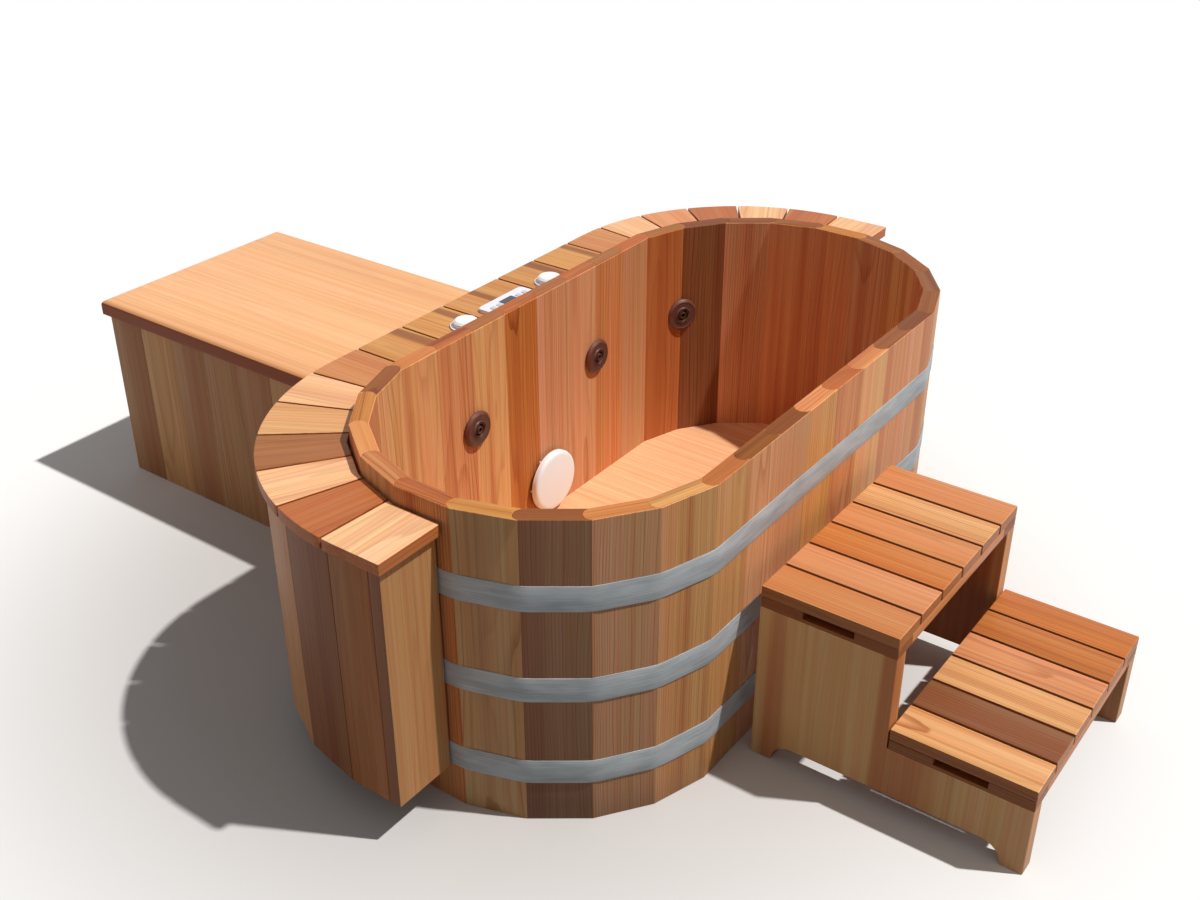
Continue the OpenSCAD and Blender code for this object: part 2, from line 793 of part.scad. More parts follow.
// A domed shell that stands off the wall on ribs, so that water goes in all round its edge
module suction_cover() {
    shell = 3;
    edge = 7;
    front = cover_gap + cover_t;
    color("white") at_wall([suction_x, inner_r], suction_z, 90) {
        difference() {
            rotate_extrude() union() {
                translate([0, cover_gap]) square([cover_r - edge, cover_t]);
                translate([0, cover_gap]) square([cover_r, cover_t - edge]);
                translate([cover_r - edge, front - edge]) circle(edge);
            }
            translate([0, 0, cover_gap - past])
                cylinder(r = cover_r - shell, h = cover_t - edge + past);
            translate([0, 0, cover_gap])
                cylinder(r = cover_r - edge - shell, h = cover_t - shell);
        }
        for (a = [0 : 60 : 300]) rotate(a) translate([suction_pipe_r, -1.5, cover_seat])
            cube([cover_r - shell / 2 - suction_pipe_r, 3, cover_gap + cover_t - edge - 1 - cover_seat]);
    }
}

// ---- Pipes ----
controls_y = manifold_y;

// A straight rod from point a to point b
module rod(a, b, r) {
    v = b - a;
    translate(a) rotate([0, acos(v[2] / norm(v)), atan2(v[1], v[0])]) rotate(50)
        cylinder(r = r, h = norm(v));
}
// A run of pipe through the points p, with a ball elbow at each corner
module run(p, r, extra) {
    for (i = [0 : len(p) - 2]) rod(p[i], p[i + 1], r);
    for (i = [1 : 1 : len(p) - 2]) translate(p[i]) rotate(80) sphere(r + extra);
}
module pipe(p, r) {
    difference() {
        run(p, r, 5);
        run(extended(p), r - pipe_wall, 1);
    }
}
// The same points with both ends moved outwards, so that a bore runs right through
function extended(p) =
    let (n = len(p) - 1, a = p[0] - p[1], b = p[n] - p[n - 1])
    [for (i = [0 : n]) i == 0 ? p[0] + a / norm(a) * past : i == n ? p[n] + b / norm(b) * past : p[i]];
// The point at distance d from a on the way to b
function towards(a, b, d) = a + (b - a) / norm(b - a) * d;

// The manifolds run along the tub's wall and bend once on their way to the jet at the far end
bend_half = (90 - end_jet_angle) / 2;
wall_bend = [straight_half, 0] + polar(manifold_y / cos(bend_half), 90 - bend_half);
end_port = [straight_half, 0] + polar(manifold_y, end_jet_angle);
ports = [[jet_seat[0][0], manifold_y], [jet_seat[1][0], manifold_y], end_port];
wall_start = [jet_seat[0][0] - pipe_r - 4, manifold_y];
wall_finish = towards(end_port, wall_bend, -pipe_r - 4);

// Both ends of the run are cut back by cut
module wall_run(z, r, extra, cut) {
    points = [towards(wall_start, wall_bend, cut), wall_bend, towards(wall_finish, wall_bend, cut)];
    run([for (q = points) [q[0], q[1], z]], r, extra);
}
module water_manifold() {
    stub_top = jet_z - jet_barrel_r - stub_l;
    color("white") difference() {
        union() {
            wall_run(manifold_z, pipe_r, 5, 0);
            for (q = ports) translate([q[0], q[1], manifold_z])
                cylinder(r = water_stub_r + 4, h = stub_top + stub_l - 2 - manifold_z);
            rod([return_x, manifold_y, manifold_z], [return_x, cab_y, manifold_z], pipe_r);
        }
        wall_run(manifold_z, pipe_r - pipe_wall, 1, pipe_wall);
        for (q = ports) translate([q[0], q[1], manifold_z]) {
            cylinder(r = water_stub_r - pipe_wall, h = jet_z - manifold_z);
            translate([0, 0, stub_top - seam - manifold_z]) cylinder(r = water_stub_r + run_fit, h = jet_z);
        }
        rod([return_x, manifold_y, manifold_z], [return_x, cab_y + past, manifold_z], pipe_r - pipe_wall);
    }
}
module air_manifold() {
    stub_end = jet_z + jet_barrel_r + stub_l + seam;
    color("gainsboro") difference() {
        union() {
            wall_run(air_z, air_pipe_r, 3, 0);
            for (q = ports) translate([q[0], q[1], stub_end])
                cylinder(r = air_stub_r, h = air_z - stub_end);
            for (s = [-1, 1]) translate([s * knob_x, manifold_y, air_z]) cylinder(r = air_stub_r, h = 20);
        }
        wall_run(air_z, air_pipe_r - 2.5, 1, 2.5);
        for (q = ports) translate([q[0], q[1], stub_end - past])
            cylinder(r = air_stub_r - 2.5, h = air_z - stub_end);
        for (s = [-1, 1]) translate([s * knob_x, manifold_y, air_z])
            cylinder(r = air_stub_r - 2.5, h = 20 + past);
    }
}

// ---- Deck controls ----
flange_t = 4;
barrel_z = deck_z - 60;
body_l = panel_l - 18;
body_w = panel_w - 18;
stem_r = barrel_r - 7;

module rounded_rect(l, w, r) {
    square([l - 2 * r, w], center = true);
    square([l, w - 2 * r], center = true);
    for (x = [-1, 1], y = [-1, 1]) translate([x * (l / 2 - r), y * (w / 2 - r)]) circle(r);
}
module air_control_bodies() {
    color("white") for (s = [-1, 1]) translate([s * knob_x, controls_y, 0]) difference() {
        union() {
            translate([0, 0, deck_z + seam]) cylinder(r = knob_flange_r, h = flange_t);
            translate([0, 0, barrel_z]) cylinder(r = barrel_r, h = deck_z + 1 - barrel_z);
            translate([0, 0, air_z + 20 + seam]) cylinder(r = air_stub_r, h = barrel_z - air_z - 19);
        }
        translate([0, 0, barrel_z + 8]) cylinder(r = stem_r, h = 4 * barrel_r);
        translate([0, 0, air_z]) cylinder(r = air_stub_r - 2.5, h = deck_z - air_z);
    }
}
module air_knob(s) {
    z = deck_z + seam + flange_t + 0.3;
    color("white") translate([s * knob_x, controls_y, z]) {
        cylinder(r = knob_r, h = knob_h - 4);
        translate([0, 0, knob_h - 4]) cylinder(r1 = knob_r, r2 = knob_r - 5, h = 4);
        translate([0, 0, -34]) cylinder(r = stem_r - run_fit, h = 35);
    }
}
module air_knob_left() { air_knob(-1); }
module air_knob_right() { air_knob(1); }

panel_top = deck_z + seam + panel_h;
cover_plate = 3;
button_x = (window_l + button_pitch) / 2;
button_xs = [-button_x - button_pitch, -button_x, button_x, button_x + button_pitch];

module panel_housing() {
    color("white") translate([0, controls_y, 0]) difference() {
        union() {
            translate([0, 0, deck_z + seam]) linear_extrude(panel_h) rounded_rect(panel_l, panel_w, 12);
            translate([0, 0, deck_under - 20]) linear_extrude(deck_t + 21) rounded_rect(body_l, body_w, 4);
        }
        translate([0, 0, deck_under - 16]) linear_extrude(panel_top - cover_plate - deck_under + 16)
            rounded_rect(body_l - 6, body_w - 6, 2);
        for (x = button_xs) translate([x, 0, deck_z]) cylinder(r = button_r + free_fit, h = 2 * panel_h);
        translate([0, 0, panel_top - 1.5]) linear_extrude(2 * past)
            rounded_rect(window_l + seam, window_w + seam, 3);
    }
}
module panel_window() {
    color([0.12, 0.14, 0.16]) translate([0, controls_y, panel_top - 1.5 + seam / 2])
        linear_extrude(1.5) rounded_rect(window_l, window_w, 3);
}
module button(i) {
    color("lightgray") translate([button_xs[i], controls_y, panel_top + button_travel + 0.6]) {
        translate([0, 0, -6]) cylinder(r = button_r, h = 6);
        translate([0, 0, -7.3]) cylinder(r = button_r + 1.5, h = 1.5);
    }
}
module button_1() { button(0); }
module button_2() { button(1); }
module button_3() { button(2); }
module button_4() { button(3); }

// ---- Equipment cabinet ----
cab_y = apron_depth + lid_gap;
cab_end = cab_y + cab_len;
cab_left = cab_x - cab_w / 2 + lid_over;
cab_right = cab_x + cab_w / 2;
wall_end = cab_end - lid_over;
lid_under = cab_h - lid_t;
wall_top = lid_under - seam;
in_left = cab_left + wall_t + seam;
in_right = cab_right - wall_t - seam;
in_end = wall_end - wall_t - seam;
cab_floor = cab_lift + post_w + seam + cab_floor_t;
cable_r = 14;
cable_x = in_right - post_w - 2.5 * cable_r;
cable_z = 100;

module cabinet_walls() {
    long_w = (wall_end - cab_y) / long_wall_boards;
    far_w = (in_right - in_left) / far_wall_boards;
    color("peru") {
        for (x = [cab_left, cab_right - wall_t], i = [0 : long_wall_boards - 1])
            translate([x, cab_y + i * long_w + seam / 2, seam])
                cube([wall_t, long_w - seam, wall_top - seam]);
        difference() {
            for (i = [0 : far_wall_boards - 1])
                translate([in_left + i * far_w + seam / 2, wall_end - wall_t, seam])
                    cube([far_w - seam, wall_t, wall_top - seam]);
            translate([cable_x, wall_end - 2 * wall_t, cable_z]) rotate([-90, 0, 0])
                cylinder(r = cable_r, h = 3 * wall_t);
        }
    }
}
module cabinet_frame() {
    post_xs = [in_left, in_right - post_w];
    post_ys = [cab_y, in_end - post_w];
    rail_zs = [cab_lift, wall_top - post_w];
    span_x = in_right - in_left - 2 * post_w - 2 * seam;
    span_y = in_end - cab_y - 2 * post_w - 2 * seam;
    boards = 6;
    color("burlywood") {
        for (x = post_xs, y = post_ys) translate([x, y, 0]) cube([post_w, post_w, wall_top]);
        for (x = post_xs, z = rail_zs) translate([x, cab_y + post_w + seam, z])
            cube([post_w, span_y, post_w]);
        for (y = post_ys, z = rail_zs) translate([in_left + post_w + seam, y, z])
            cube([span_x, post_w, post_w]);
        for (i = [0 : boards - 1]) translate([in_left, cab_y + post_w + seam + i * span_y / boards, 0])
            translate([0, seam / 2, cab_lift + post_w + seam])
                cube([in_right - in_left, span_y / boards - seam, cab_floor_t]);
    }
}

// The lid's section: square below, rounded along the top of the edges that round1 and round2 ask for
module lid_section(l, round1, round2) {
    difference() {
        square([l, lid_t]);
        for (s = [0, 1]) if (s == 0 ? round1 : round2)
            translate([s * l, lid_t]) mirror([s, 0]) difference() {
                translate([-past, -lid_round]) square([lid_round + past, lid_round + past]);
                translate([lid_round, -lid_round]) circle(lid_round);
            }
    }
}
module lid_boards() {
    board_w = cab_w / lid_board_count;
    color("sandybrown") intersection() {
        translate([cab_left - lid_over, cab_end, lid_under]) rotate([90, 0, 0]) linear_extrude(cab_len)
            lid_section(cab_w, true, false);
        translate([cab_left - lid_over - past, cab_y, lid_under]) rotate([90, 0, 90])
            linear_extrude(cab_w + 2 * past) lid_section(cab_len, false, true);
        for (i = [0 : lid_board_count - 1])
            translate([cab_left - lid_over + i * board_w + seam / 2, cab_y - past, lid_under - past])
                cube([board_w - seam, cab_len + 2 * past, lid_t + 2 * past]);
    }
}
batten_l = in_right - in_left - 2 * post_w - 12;
// The battens are spread between the near posts and the filter, which lifts out between them and the wall
module lid_battens() {
    first = cab_y + 2 * post_w + batten_w / 2;
    last = filter_y - filter_r - 6 - batten_gap - batten_w / 2;
    color("burlywood") for (f = [0, 0.5, 1])
        translate([in_left + post_w + 6, first + f * (last - first) - batten_w / 2,
            lid_under - seam - batten_t]) cube([batten_l, batten_w, batten_t]);
}

// ---- Lid hinges, on the far side from the camera ----
hinge_x = cab_right + knuckle_r + 0.4;
hinge_z = lid_under;
hinge_ys = [for (f = [0.12, 0.5, 0.88]) cab_y + f * cab_len];
leaf_t = 2;
leaf_h = lid_t - knuckle_r - 3;
knuckle_l = hinge_l / 3;

// Half of a butt hinge: a leaf on the side that up names, with knuckles on the thirds listed
module hinge_half(up, thirds, bore) {
    s = up ? 1 : -1;
    difference() {
        union() {
            for (i = thirds) {
                translate([0, (i - 0.5) * knuckle_l + 0.15, 0]) rotate([-90, 0, 0])
                    cylinder(r = knuckle_r, h = knuckle_l - 0.3);
                translate([-knuckle_r - 0.2, (i - 0.5) * knuckle_l + 0.15, s > 0 ? 0.6 : -knuckle_r - 2])
                    cube([leaf_t, knuckle_l - 0.3, knuckle_r + 1.4]);
            }
            translate([-knuckle_r - 0.2, -hinge_l / 2, s > 0 ? knuckle_r + 1 : -knuckle_r - 1 - leaf_h])
                cube([leaf_t, hinge_l, leaf_h]);
        }
        translate([0, -hinge_l, 0]) rotate([-90, 0, 0]) cylinder(r = bore, h = 2 * hinge_l);
    }
}
module lid_hinges_fixed() {
    color("silver") for (y = hinge_ys) translate([hinge_x, y, hinge_z]) {
        hinge_half(false, [-1, 1], hinge_pin_r + run_fit);
        translate([0, -hinge_l / 2 - 1, 0]) rotate([-90, 0, 0]) cylinder(r = hinge_pin_r, h = hinge_l + 2);
    }
}
module lid_hinges_moving() {
    color("silver") for (y = hinge_ys) translate([hinge_x, y, hinge_z])
        hinge_half(true, [0], hinge_pin_r + run_fit);
}

// ---- Equipment ----
pump_y = cab_y + pump_start;
motor_y = pump_y + volute_l + seam;
run_z = suction_z + motor_r + 2 * pipe_r + 20;
discharge_z = suction_z + volute_r + 12;
impeller_r = volute_r - 22;
chamber_l = volute_l - 28;

module along_y(y) {
    translate([suction_x, y, suction_z]) rotate([-90, 0, 0]) children();
}
module pump_wet_end() {
    color("darkslategray") difference() {
        union() {
            along_y(pump_y) cylinder(r = volute_r, h = volute_l);
            along_y(pump_y - 20) cylinder(r = suction_barrel_r, h = 21);
            translate([suction_x, pump_y + volute_l / 2, suction_z])
                cylinder(r = pipe_r + 5, h = discharge_z - suction_z);
            translate([suction_x - 60, pump_y + 8, cab_floor + seam])
                cube([120, volute_l - 16, suction_z - cab_floor - volute_r * 0.8]);
        }
        along_y(pump_y - 21) cylinder(r = suction_pipe_r - pipe_wall, h = 30);
        along_y(pump_y + 8) cylinder(r = impeller_r + 6, h = chamber_l);
        along_y(pump_y) cylinder(r = shaft_r + run_fit, h = volute_l + past);
        translate([suction_x, pump_y + volute_l / 2 - 4, suction_z])
            cylinder(r = pipe_r - pipe_wall, h = discharge_z);
    }
}
module pump_motor() {
    color("gray") difference() {
        union() {
            along_y(motor_y) cylinder(r = motor_r, h = motor_l);
            for (f = [0.2, 0.8]) translate([suction_x - 60, motor_y + f * motor_l - 15, cab_floor + seam])
                cube([120, 30, suction_z - cab_floor - motor_r * 0.8]);
            translate([suction_x - 30, motor_y + 50, suction_z])
                cube([60, 130, motor_r + 22]);
        }
        along_y(motor_y + 10) cylinder(r = motor_r - 6, h = motor_l - 20);
        along_y(motor_y - 1) cylinder(r = shaft_r + run_fit, h = motor_l - 4);
    }
}
module pump_rotor() {
    color("silver") {
        along_y(pump_y + 14) cylinder(r = shaft_r, h = volute_l + motor_l - 24);
        along_y(pump_y + 14) cylinder(r = impeller_r, h = chamber_l - 14);
        along_y(motor_y + 28) cylinder(r = motor_r - 16, h = motor_l - 56);
    }
}

filter_x = in_left + post_w + filter_r + 20;
filter_y = in_end - post_w - filter_r - 10;
filter_z = cab_floor + seam;
filter_top = filter_z + filter_h;
heater_z = cab_floor + heater_r + 14;
heater_end = filter_y - filter_r - heater_gap;
heater_y = heater_end - heater_l;
port_r = pipe_r + 5;
return_turn_y = cab_y + valve_start + return_reach;

module filter_canister() {
    color("dimgray") translate([filter_x, filter_y, filter_z]) {
        difference() {
            union() {
                cylinder(r = filter_r, h = filter_h - seam);
                rod([0, 0, heater_z - filter_z], [0, -filter_r - 14, heater_z - filter_z], port_r);
                rod([0, 0, run_z - filter_z], [filter_r + 14, 0, run_z - filter_z], port_r);
            }
            translate([0, 0, 5]) cylinder(r = filter_r - 5, h = filter_h);
            for (v = [[0, -1, heater_z - filter_z], [1, 0, run_z - filter_z]])
                rod([0, 0, v[2]], [v[0] * 2 * filter_r, v[1] * 2 * filter_r, v[2]], pipe_r - pipe_wall);
        }
        translate([0, 0, filter_h]) cylinder(r = filter_r + 6, h = 16);
        translate([0, 0, 5 + seam]) difference() {
            cylinder(r = filter_r * 0.6, h = filter_h - 10 - 2 * seam);
            translate([0, 0, -past]) cylinder(r = filter_r * 0.2, h = 2 * filter_h);
        }
    }
}
module heater() {
    a = [filter_x, heater_y, heater_z];
    b = [filter_x, heater_end, heater_z];
    step = [0, 30, 0];
    color("lightgray") difference() {
        union() {
            rod(a, b, heater_r);
            rod(a, a + step, heater_r + 6);
            rod(b - step, b, heater_r + 6);
            for (f = [0.25, 0.75]) translate([filter_x - 30, heater_y + f * heater_l - 10, cab_floor + seam])
                cube([60, 20, heater_r]);
            translate([filter_x - heater_box_w / 2, heater_y + (heater_l - heater_box_l) / 2, heater_z])
                cube([heater_box_w, heater_box_l, heater_r + 24]);
        }
        rod(a - step, b + step, heater_r - 8);
    }
}
// An open-fronted tray on the wall, with a cover in front
module control_box() {
    wall = 4;
    y = in_end - post_w - control_gap - control_l;
    z = wall_top - post_w - control_h - 30;
    color("lightgray") translate([in_right - seam - control_d, y, z]) {
        difference() {
            cube([control_d, control_l, control_h]);
            translate([-past, wall, wall])
                cube([control_d - wall + past, control_l - 2 * wall, control_h - 2 * wall]);
        }
        translate([-3 - seam, -wall, -wall]) cube([3, control_l + 2 * wall, control_h + 2 * wall]);
    }
}

// A slice valve round a pipe along Y, with its gate drawn towards +Z
valve_y = cab_y + valve_start;
valve_l = 36;
valve_w = 2 * suction_pipe_r + 26;
gate_w = 2 * suction_pipe_r + 6;
gate_low = -suction_pipe_r - 4;
valve_top = suction_pipe_r + 20;

module valve_body() {
    difference() {
        union() {
            translate([-valve_w / 2, -valve_l / 2, gate_low - 8])
                cube([valve_w, valve_l, valve_top + 8 - gate_low]);
            rod([0, -valve_l / 2 - 12, 0], [0, valve_l / 2 + 12, 0], suction_pipe_r + 5);
        }
        rod([0, -valve_l, 0], [0, valve_l, 0], pipe_r - pipe_wall);
        translate([-gate_w / 2 - 0.1, -gate_t / 2 - 0.1, gate_low - 0.1])
            cube([gate_w + 0.2, gate_t + 0.2, 2 * valve_top]);
    }
}
module valve_gate() {
    translate([-gate_w / 2, -gate_t / 2, gate_low]) cube([gate_w, gate_t, valve_top + 10 - gate_low]);
    rod([0, 0, valve_top + 4], [0, 0, valve_top + 26], 6);
    rod([-24, 0, valve_top + 26], [24, 0, valve_top + 26], 8);
}
module at_suction_valve() {
    translate([suction_x, valve_y, suction_z]) children();
}
module at_return_valve() {
    translate([return_x, valve_y, manifold_z]) rotate([0, -90, 0]) children();
}
module valve_bodies() {
    color("white") {
        at_suction_valve() valve_body();
        at_return_valve() valve_body();
    }
}
module valve_gate_suction() {
    color("firebrick") at_suction_valve() valve_gate();
}
module valve_gate_return() {
    color("firebrick") at_return_valve() valve_gate();
}

module equipment_pipes() {
    suction_start = end_r + suction_tail + seam;
    valve_half = valve_l / 2 + 12 + seam;
    filter_port_x = filter_x + filter_r + 14 + seam;
    color("white") {
        pipe([[suction_x, suction_start, suction_z], [suction_x, valve_y - valve_half, suction_z]],
            suction_pipe_r);
        pipe([[suction_x, valve_y + valve_half, suction_z], [suction_x, pump_y - 20 - seam, suction_z]],
            suction_pipe_r);
        pipe([[return_x, cab_y + seam, manifold_z], [return_x, valve_y - valve_half, manifold_z]], pipe_r);
        pipe([[return_x, valve_y + valve_half, manifold_z], [return_x, return_turn_y, manifold_z],
            [filter_x, return_turn_y, manifold_z], [filter_x, return_turn_y, heater_z],
            [filter_x, heater_y - seam, heater_z]], pipe_r);
        pipe([[filter_x, heater_end + seam, heater_z],
            [filter_x, filter_y - filter_r - 14 - seam, heater_z]], pipe_r);
        pipe([[suction_x, pump_y + volute_l / 2, discharge_z + seam],
            [suction_x, pump_y + volute_l / 2, run_z], [suction_x, filter_y, run_z],
            [filter_port_x, filter_y, run_z]], pipe_r);
    }
}

// ---- Steps: two slatted treads on stepped side panels, standing loose beside the tub ----
steps_left = steps_x - steps_w / 2;
steps_back = -end_r - steps_gap;
steps_mid = steps_back - tread_d;
lower_back = steps_mid - 3;
steps_front = lower_back - tread_d;
slat_w = (steps_w - (slats - 1) * slat_gap) / slats;
under = slat_t + frame_t + 2 * seam;
frame_rail_d = 40;

module side_profile() {
    y1 = steps_front + foot_l + arch_h;
    y2 = steps_back - foot_l - arch_h;
    difference() {
        union() {
            translate([steps_front, 0]) square([steps_back - steps_front, lower_z - under]);
            translate([steps_mid, 0]) square([tread_d, upper_z - under]);
        }
        translate([y1, -past]) square([y2 - y1, arch_h + past]);
        for (y = [y1, y2]) translate([y, 0]) circle(arch_h);
    }
}
module steps_sides() {
    color("peru") for (x = [steps_left, steps_left + steps_w - side_t]) translate([x, 0, 0])
        rotate([90, 0, 90]) linear_extrude(side_t) side_profile();
}
// The frame under one tread, whose back edge is at y and whose slats' top is at z
module tread_frame(y, z) {
    bottom = z - slat_t - seam - frame_t;
    for (x = [steps_left, steps_left + steps_w - frame_w]) difference() {
        translate([x, y - tread_d, bottom]) cube([frame_w, tread_d, frame_t]);
        translate([x - past, y - (tread_d + hold_l) / 2, bottom + frame_t - hold_h])
            cube([frame_w + 2 * past, hold_l, hold_h + past]);
    }
    for (d = [frame_rail_d, tread_d]) translate([steps_left + frame_w + seam, y - d, bottom])
        cube([steps_w - 2 * frame_w - 2 * seam, frame_rail_d, frame_t]);
}
module steps_frame() {
    color("sienna") {
        tread_frame(steps_back, upper_z);
        tread_frame(lower_back, lower_z);
    }
}
module tread_slats(y, z) {
    for (i = [0 : slats - 1]) translate([steps_left + i * (slat_w + slat_gap), y - tread_d, z - slat_t])
        cube([slat_w, tread_d, slat_t]);
}
module steps_slats_upper() {
    color("chocolate") tread_slats(steps_back, upper_z);
}
module steps_slats_lower() {
    color("chocolate") tread_slats(lower_back, lower_z);
}

staves_front();
staves_back();
staves_left();
staves_right();
floor_boards();
floor_joists();
hoop_top();
hoop_middle();
hoop_low();
hoop_ears();
hoop_bolts();
drain_fitting();
drain_plug();
deck_boards_left();
deck_boards_back();
deck_boards_right();
skirt_boards();
apron_end_panels();
apron_frame();
jet_bodies();
jet_nuts();
jet_ring_left();
jet_ring_middle();
jet_ring_right();
jet_ball_left();
jet_ball_middle();
jet_ball_right();
suction_fitting();
suction_cover();
water_manifold();
air_manifold();
air_control_bodies();
air_knob_left();
air_knob_right();
panel_housing();
panel_window();
button_1();
button_2();
button_3();
button_4();
cabinet_walls();
cabinet_frame();
lid_boards();
lid_battens();
lid_hinges_fixed();
lid_hinges_moving();
pump_wet_end();
pump_motor();
pump_rotor();
filter_canister();
heater();
control_box();
valve_bodies();
valve_gate_suction();
valve_gate_return();
equipment_pipes();
steps_sides();
steps_frame();
steps_slats_upper();
steps_slats_lower();
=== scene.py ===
import json
import math
from functools import partialmethod

import bpy
import numpy as np
from bpy.props import FloatProperty, FloatVectorProperty, IntProperty, PointerProperty
from bpy.types import Operator, Panel, PropertyGroup
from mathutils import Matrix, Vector


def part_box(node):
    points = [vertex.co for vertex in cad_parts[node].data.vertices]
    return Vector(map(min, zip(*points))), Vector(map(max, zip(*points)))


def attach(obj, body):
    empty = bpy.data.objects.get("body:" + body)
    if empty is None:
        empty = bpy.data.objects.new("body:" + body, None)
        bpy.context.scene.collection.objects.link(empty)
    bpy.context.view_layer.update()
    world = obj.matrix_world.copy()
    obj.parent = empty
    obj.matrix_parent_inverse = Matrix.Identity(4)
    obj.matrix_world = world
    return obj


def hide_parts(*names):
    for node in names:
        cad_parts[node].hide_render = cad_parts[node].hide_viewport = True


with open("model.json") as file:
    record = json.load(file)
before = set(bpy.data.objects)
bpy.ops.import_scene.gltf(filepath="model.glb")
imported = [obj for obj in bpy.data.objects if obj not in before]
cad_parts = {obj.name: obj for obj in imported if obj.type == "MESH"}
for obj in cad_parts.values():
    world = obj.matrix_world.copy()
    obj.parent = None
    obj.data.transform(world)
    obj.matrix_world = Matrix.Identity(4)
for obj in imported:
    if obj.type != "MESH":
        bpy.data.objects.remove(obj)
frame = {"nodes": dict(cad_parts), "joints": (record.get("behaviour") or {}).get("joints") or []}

bl_info = {
    "name": "Cedar Soaking Tub",
    "version": (1, 0, 0),
    "blender": (4, 5, 0),
    "location": "3D View > Sidebar > Soaking Tub",
    "description": "Builds the boards, hoops, fittings and studio of a cedar soaking tub",
    "category": "Object",
}

X, Y, UP = np.eye(3)
QUARTER = math.pi / 2


# ---- What the frame says ----


def cad_box(node):
    """Lowest and highest corner of a node as two arrays."""
    low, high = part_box(node)
    return np.array(low), np.array(high)


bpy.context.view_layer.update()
STAVES_LOW, STAVES_HIGH = cad_box("staves_front")
DECK_LOW, DECK_HIGH = cad_box("deck_boards_back")


# ---- Settings ----


def linear(code):
    """A hex colour as scene-linear red, green and blue, by the sRGB curve."""
    parts = [int(code[i : i + 2], 16) / 255 for i in (0, 2, 4)]
    return tuple(c / 12.92 if c <= 0.04045 else ((c + 0.055) / 1.055) ** 2.4 for c in parts)


def length_of(name, description, default):
    """A length in metres for a property group."""
    return FloatProperty(name=name, description=description, default=default, min=0.0, max=3.0,
                         subtype="DISTANCE", unit="LENGTH", precision=4)


def count_of(name, description, default):
    """A number of boards for a property group."""
    return IntProperty(name=name, description=description, default=default, min=1)


def colour_of(name, description, code):
    """A colour for a property group, from a hex code."""
    return FloatVectorProperty(name=name, description=description, default=linear(code),
                               subtype="COLOR", size=3, min=0.0, max=1.0)


def place_of(name, description, default, **settings):
    """A place or a direction for a property group."""
    return FloatVectorProperty(name=name, description=description, default=default, size=3,
                               subtype="XYZ", **settings)


